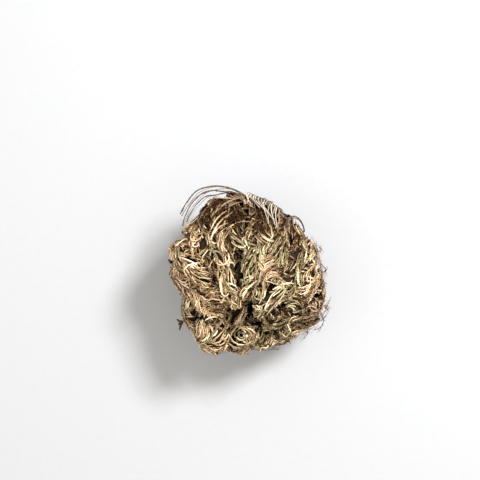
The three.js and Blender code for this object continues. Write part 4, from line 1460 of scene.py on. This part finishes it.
class PlantForm(PropertyGroup):
    """Sizes and counts of the fine parts."""

    pinna_pitch: FloatProperty(
        name="Pinna Pitch", description="From one pinna to the next on one side of a rib, in mm",
        default=5.4)
    barb_pitch: FloatProperty(
        name="Barb Pitch", description="From one barb to the next along a pinna, in mm", default=1.7)
    barb_length: FloatProperty(
        name="Barb Length", description="Length of the longest barbs, in mm", default=6.0)
    strays: FloatProperty(
        name="Strays", description="Loose branchlets on each 10 mm of a frond", default=3.2, min=0)
    lost_pinnae: FloatProperty(
        name="Lost Pinnae", description="Share of the pinnae that have dropped",
        default=0.04, min=0, max=1, subtype="FACTOR")
    strand_width: FloatProperty(
        name="Strand Width", description="Width of a branchlet without its leaves, in mm", default=0.95)
    # Painted shade at branchlet bases, where the others overlap them.
    painted_base_shade: FloatProperty(
        name="Painted Base Shade", description="How much darker a branchlet is at its base",
        default=0.35, min=0, max=1)
    # Painted light and shade round each branchlet: lighter on top, darker underneath.
    painted_side_shade: FloatProperty(
        name="Painted Side Shade", description="How much darker a branchlet is underneath than on top",
        default=0.16, min=0, max=1)
    speckle: FloatProperty(
        name="Speckle", description="How much single scale leaves differ in brightness",
        default=0.35, min=0, max=1)
    leaf_length: FloatProperty(
        name="Leaf Length", description="Length of a scale leaf, in mm", default=1.6)
    leaf_width: FloatProperty(
        name="Leaf Width", description="Width of a leaf as a share of its length",
        default=0.52, min=0, max=1, subtype="FACTOR")
    leaf_spacing: FloatProperty(
        name="Leaf Spacing", description="From one scale leaf to the next along a branchlet, in mm",
        default=0.72)
    flatness: FloatProperty(
        name="Flatness", description="Thickness of a branchlet as a share of its width",
        default=0.55, min=0, max=1, subtype="FACTOR")
    spread: FloatProperty(
        name="Spread", description="How far leaf tips stand off a branchlet, as a share of their length",
        default=0.08, min=0, max=1, subtype="FACTOR")
    # The sheet of painted shade under the pinnae: its row step and its depth.
    painted_shade_sheet_step: FloatProperty(
        name="Painted Shade Sheet Step", description="From one row of the lining to the next, in mm", default=1.6)
    painted_shade_sheet_depth: FloatProperty(
        name="Painted Shade Sheet Depth", description="How far the lining lies under the pinnae, in mm", default=1.5)
    rootlets: IntProperty(
        name="Rootlets", description="Fine rootlets on each wiry root", default=56, min=0)
    root_fuzz: FloatProperty(
        name="Root Fuzz", description="How far a rootlet stands off beyond its wiry root, in mm",
        default=0.9)
    mat_fibres: IntProperty(
        name="Mat Fibres", description="Fibres on the mat of roots", default=500, min=0)
    old_bases: IntProperty(
        name="Old Bases", description="Broken bases of old fronds on the crown", default=150, min=0)


class PlantColours(PropertyGroup):
    """Colours of the dry plant."""

    straw: FloatVectorProperty(
        name="Straw", description="Dry leaves on the sunny side",
        default=(0.51, 0.325, 0.155), subtype="COLOR")
    olive: FloatVectorProperty(
        name="Olive", description="Leaves that kept some green", default=(0.34, 0.3, 0.13), subtype="COLOR")
    umber: FloatVectorProperty(
        name="Umber", description="Old, weathered leaves", default=(0.26, 0.16, 0.1), subtype="COLOR")
    # Also the colour of leaves with a high tint: partly bleached tone, partly painted highlight.
    pale_tip: FloatVectorProperty(
        name="Pale Tip", description="Bleached leaf tips", default=(0.82, 0.7, 0.54), subtype="COLOR")
    rust: FloatVectorProperty(
        name="Rust", description="Rusty patches", default=(0.45, 0.2, 0.09), subtype="COLOR")
    # Partly painted shade: the colour that leaves with a low tint darken towards, shaded bases and
    # undersides among them; partly dark old leaves.
    shadow: FloatVectorProperty(
        name="Shadow", description="The darkest, oldest leaves",
        default=(0.22, 0.088, 0.022), subtype="COLOR")
    stem: FloatVectorProperty(
        name="Old Stem", description="Bare old stems", default=(0.09, 0.06, 0.045), subtype="COLOR")
    root: FloatVectorProperty(
        name="Root", description="Crown and roots", default=(0.07, 0.042, 0.028), subtype="COLOR")
    contrast: FloatProperty(
        name="Contrast", description="How much branchlets differ in brightness", default=1.6, min=0, max=2)


class StageLight(PropertyGroup):
    """The stage's light and the camera."""

    key_power: FloatProperty(
        name="Key Power", description="Power of the key light", default=12.0, unit="POWER")
    fill_power: FloatProperty(
        name="Fill Power", description="Power of the fill light", default=1.6, unit="POWER")
    sky: FloatProperty(
        name="Sky", description="Brightness of the sky", default=0.75)
    lens: FloatProperty(
        name="Lens", description="Focal length of the camera", default=125.0, unit="CAMERA")
    camera_height: FloatProperty(
        name="Camera Height", description="Camera above the middle of the plant", default=0.9,
        subtype="DISTANCE", unit="LENGTH")
    floor_colour: FloatVectorProperty(
        name="Floor", description="Colour of the floor", default=(0.54, 0.552, 0.57), subtype="COLOR")


# ---------------------------------------------------------------- operators

class OuterFronds(Operator):
    """Makes the outer fronds"""

    bl_idname = "plant.outer_fronds"
    bl_label = "Outer Fronds"

    def execute(self, context):
        make_fronds(context, "outer")
        return {"FINISHED"}


class MiddleFronds(Operator):
    """Makes the middle fronds"""

    bl_idname = "plant.middle_fronds"
    bl_label = "Middle Fronds"

    def execute(self, context):
        make_fronds(context, "middle")
        return {"FINISHED"}


class InnerFronds(Operator):
    """Makes the inner fronds"""

    bl_idname = "plant.inner_fronds"
    bl_label = "Inner Fronds"

    def execute(self, context):
        make_fronds(context, "inner")
        return {"FINISHED"}


def make_fronds(context, layer_name):
    """Makes the fronds of one layer."""
    colours = context.scene.plant_colours
    materials = [shared_material(name, colours) for name in (layer_name + "_leaves", "rib_bark", "lining")]
    for frond in frond_plan(layer_name):
        frond_piece(frond, context.scene.plant_form, materials, slot=layer_name + "_frond")


class LowerFronds(Operator):
    """Makes the short old fronds low in the ball"""

    bl_idname = "plant.lower_fronds"
    bl_label = "Lower Fronds"

    def execute(self, context):
        make_fronds(context, "lower")
        return {"FINISHED"}


class BareStems(Operator):
    """Makes the bare old stems"""

    bl_idname = "plant.bare_stems"
    bl_label = "Bare Stems"

    def execute(self, context):
        colours = context.scene.plant_colours
        materials = [shared_material(name, colours) for name in ("old_stem_bark", "bleached_twigs")]
        for index, stem in enumerate(BARE_STEMS):
            bare_stem_piece(index, stem, materials)
        return {"FINISHED"}


class CrownAndRoots(Operator):
    """Makes the crown, the mat of roots and the wiry roots"""

    bl_idname = "plant.crown_and_roots"
    bl_label = "Crown and Roots"

    def execute(self, context):
        form = context.scene.plant_form
        colours = context.scene.plant_colours
        skin, bleached = (shared_material(name, colours) for name in ("root_skin", "bleached_roots"))
        root_mat_piece(form, skin)
        wiry_roots_piece(form, [skin, bleached])
        return {"FINISHED"}


class Stage(Operator):
    """Makes the floor, the lights and the camera"""

    bl_idname = "plant.stage"
    bl_label = "Stage"

    def execute(self, context):
        light = context.scene.stage_light
        make_floor(light)
        make_lights(context.scene, light)
        make_camera(context.scene, light)
        return {"FINISHED"}


def make_floor(light):
    """A wide pale floor under the plant."""
    half = FLOOR_HALF
    mesh = bpy.data.meshes.new("floor")
    corners = [(-half, -half, 0), (half, -half, 0), (half, half, 0), (-half, half, 0)]
    mesh.from_pydata(corners, [], [(0, 1, 2, 3)])
    material, shader = new_material("floor_paint")
    tree = material.node_tree
    grain = placed_group(tree, "Dry Grain", Scale=FLOOR_GRAIN_SCALE, Wear=0.4)
    darker = [channel * 0.97 for channel in light.floor_colour]
    colour = blended(tree, grain.outputs["Worn"], solid(light.floor_colour), solid(darker))
    tree.links.new(colour, shader.inputs["Base Color"])
    shader.inputs["Roughness"].default_value = 0.8
    mesh.materials.append(material)
    floor = bpy.data.objects.new("floor", mesh)
    bpy.context.scene.collection.objects.link(floor)


def make_area_light(scene, name, place, size, power, colour):
    """A square area light that shines at the middle of the plant."""
    lamp = bpy.data.lights.new(name, "AREA")
    lamp.size = size
    lamp.energy = power
    lamp.color = colour
    made = bpy.data.objects.new(name, lamp)
    scene.collection.objects.link(made)
    made.location = place
    way = Vector(VIEW_MIDDLE) - made.location
    made.rotation_euler = way.to_track_quat("-Z", "Y").to_euler()


def make_lights(scene, light):
    """A soft key from the upper right, a fill from the left, and the sky."""
    make_area_light(scene, "key", KEY_PLACE, KEY_SIZE, light.key_power, KEY_COLOUR)
    make_area_light(scene, "fill", FILL_PLACE, FILL_SIZE, light.fill_power, FILL_COLOUR)
    world = bpy.data.worlds.new("sky")
    world.use_nodes = True
    backdrop = world.node_tree.nodes["Background"]
    backdrop.inputs["Color"].default_value = solid(SKY_COLOUR)
    backdrop.inputs["Strength"].default_value = light.sky
    scene.world = world
    scene.view_settings.view_transform = "Standard"


def make_camera(scene, light):
    """A camera that looks straight down."""
    lens = bpy.data.cameras.new("camera")
    lens.lens = light.lens
    camera = bpy.data.objects.new("camera", lens)
    scene.collection.objects.link(camera)
    camera.location = (VIEW_MIDDLE[0], VIEW_MIDDLE[1], VIEW_MIDDLE[2] + light.camera_height)
    scene.camera = camera


class PlantPanel(Panel):
    """The plant's pieces, in the order in which they are made"""

    bl_idname = "VIEW3D_PT_rose_of_jericho"
    bl_label = "Rose of Jericho"
    bl_space_type = "VIEW_3D"
    bl_region_type = "UI"
    bl_category = "Plant"

    def draw(self, context):
        for operator in OPERATORS:
            self.layout.operator(operator.bl_idname)
        for group in (context.scene.plant_form, context.scene.plant_colours, context.scene.stage_light):
            for name in group.__annotations__:
                self.layout.prop(group, name)


OPERATORS = (OuterFronds, MiddleFronds, InnerFronds, LowerFronds, BareStems, CrownAndRoots, Stage)
CLASSES = (PlantForm, PlantColours, StageLight, *OPERATORS, PlantPanel)


def register():
    """Adds the classes and the values that they keep in a scene."""
    for cls in CLASSES:
        bpy.utils.register_class(cls)
    bpy.types.Scene.plant_form = PointerProperty(type=PlantForm)
    bpy.types.Scene.plant_colours = PointerProperty(type=PlantColours)
    bpy.types.Scene.stage_light = PointerProperty(type=StageLight)


def unregister():
    """Takes them away again."""
    del bpy.types.Scene.stage_light
    del bpy.types.Scene.plant_colours
    del bpy.types.Scene.plant_form
    for cls in reversed(CLASSES):
        bpy.utils.unregister_class(cls)


def main():
    """Makes every piece."""
    register()
    bpy.ops.plant.outer_fronds()
    bpy.ops.plant.middle_fronds()
    bpy.ops.plant.inner_fronds()
    bpy.ops.plant.lower_fronds()
    bpy.ops.plant.bare_stems()
    bpy.ops.plant.crown_and_roots()
    bpy.ops.plant.stage()


if __name__ == "__main__":
    main()
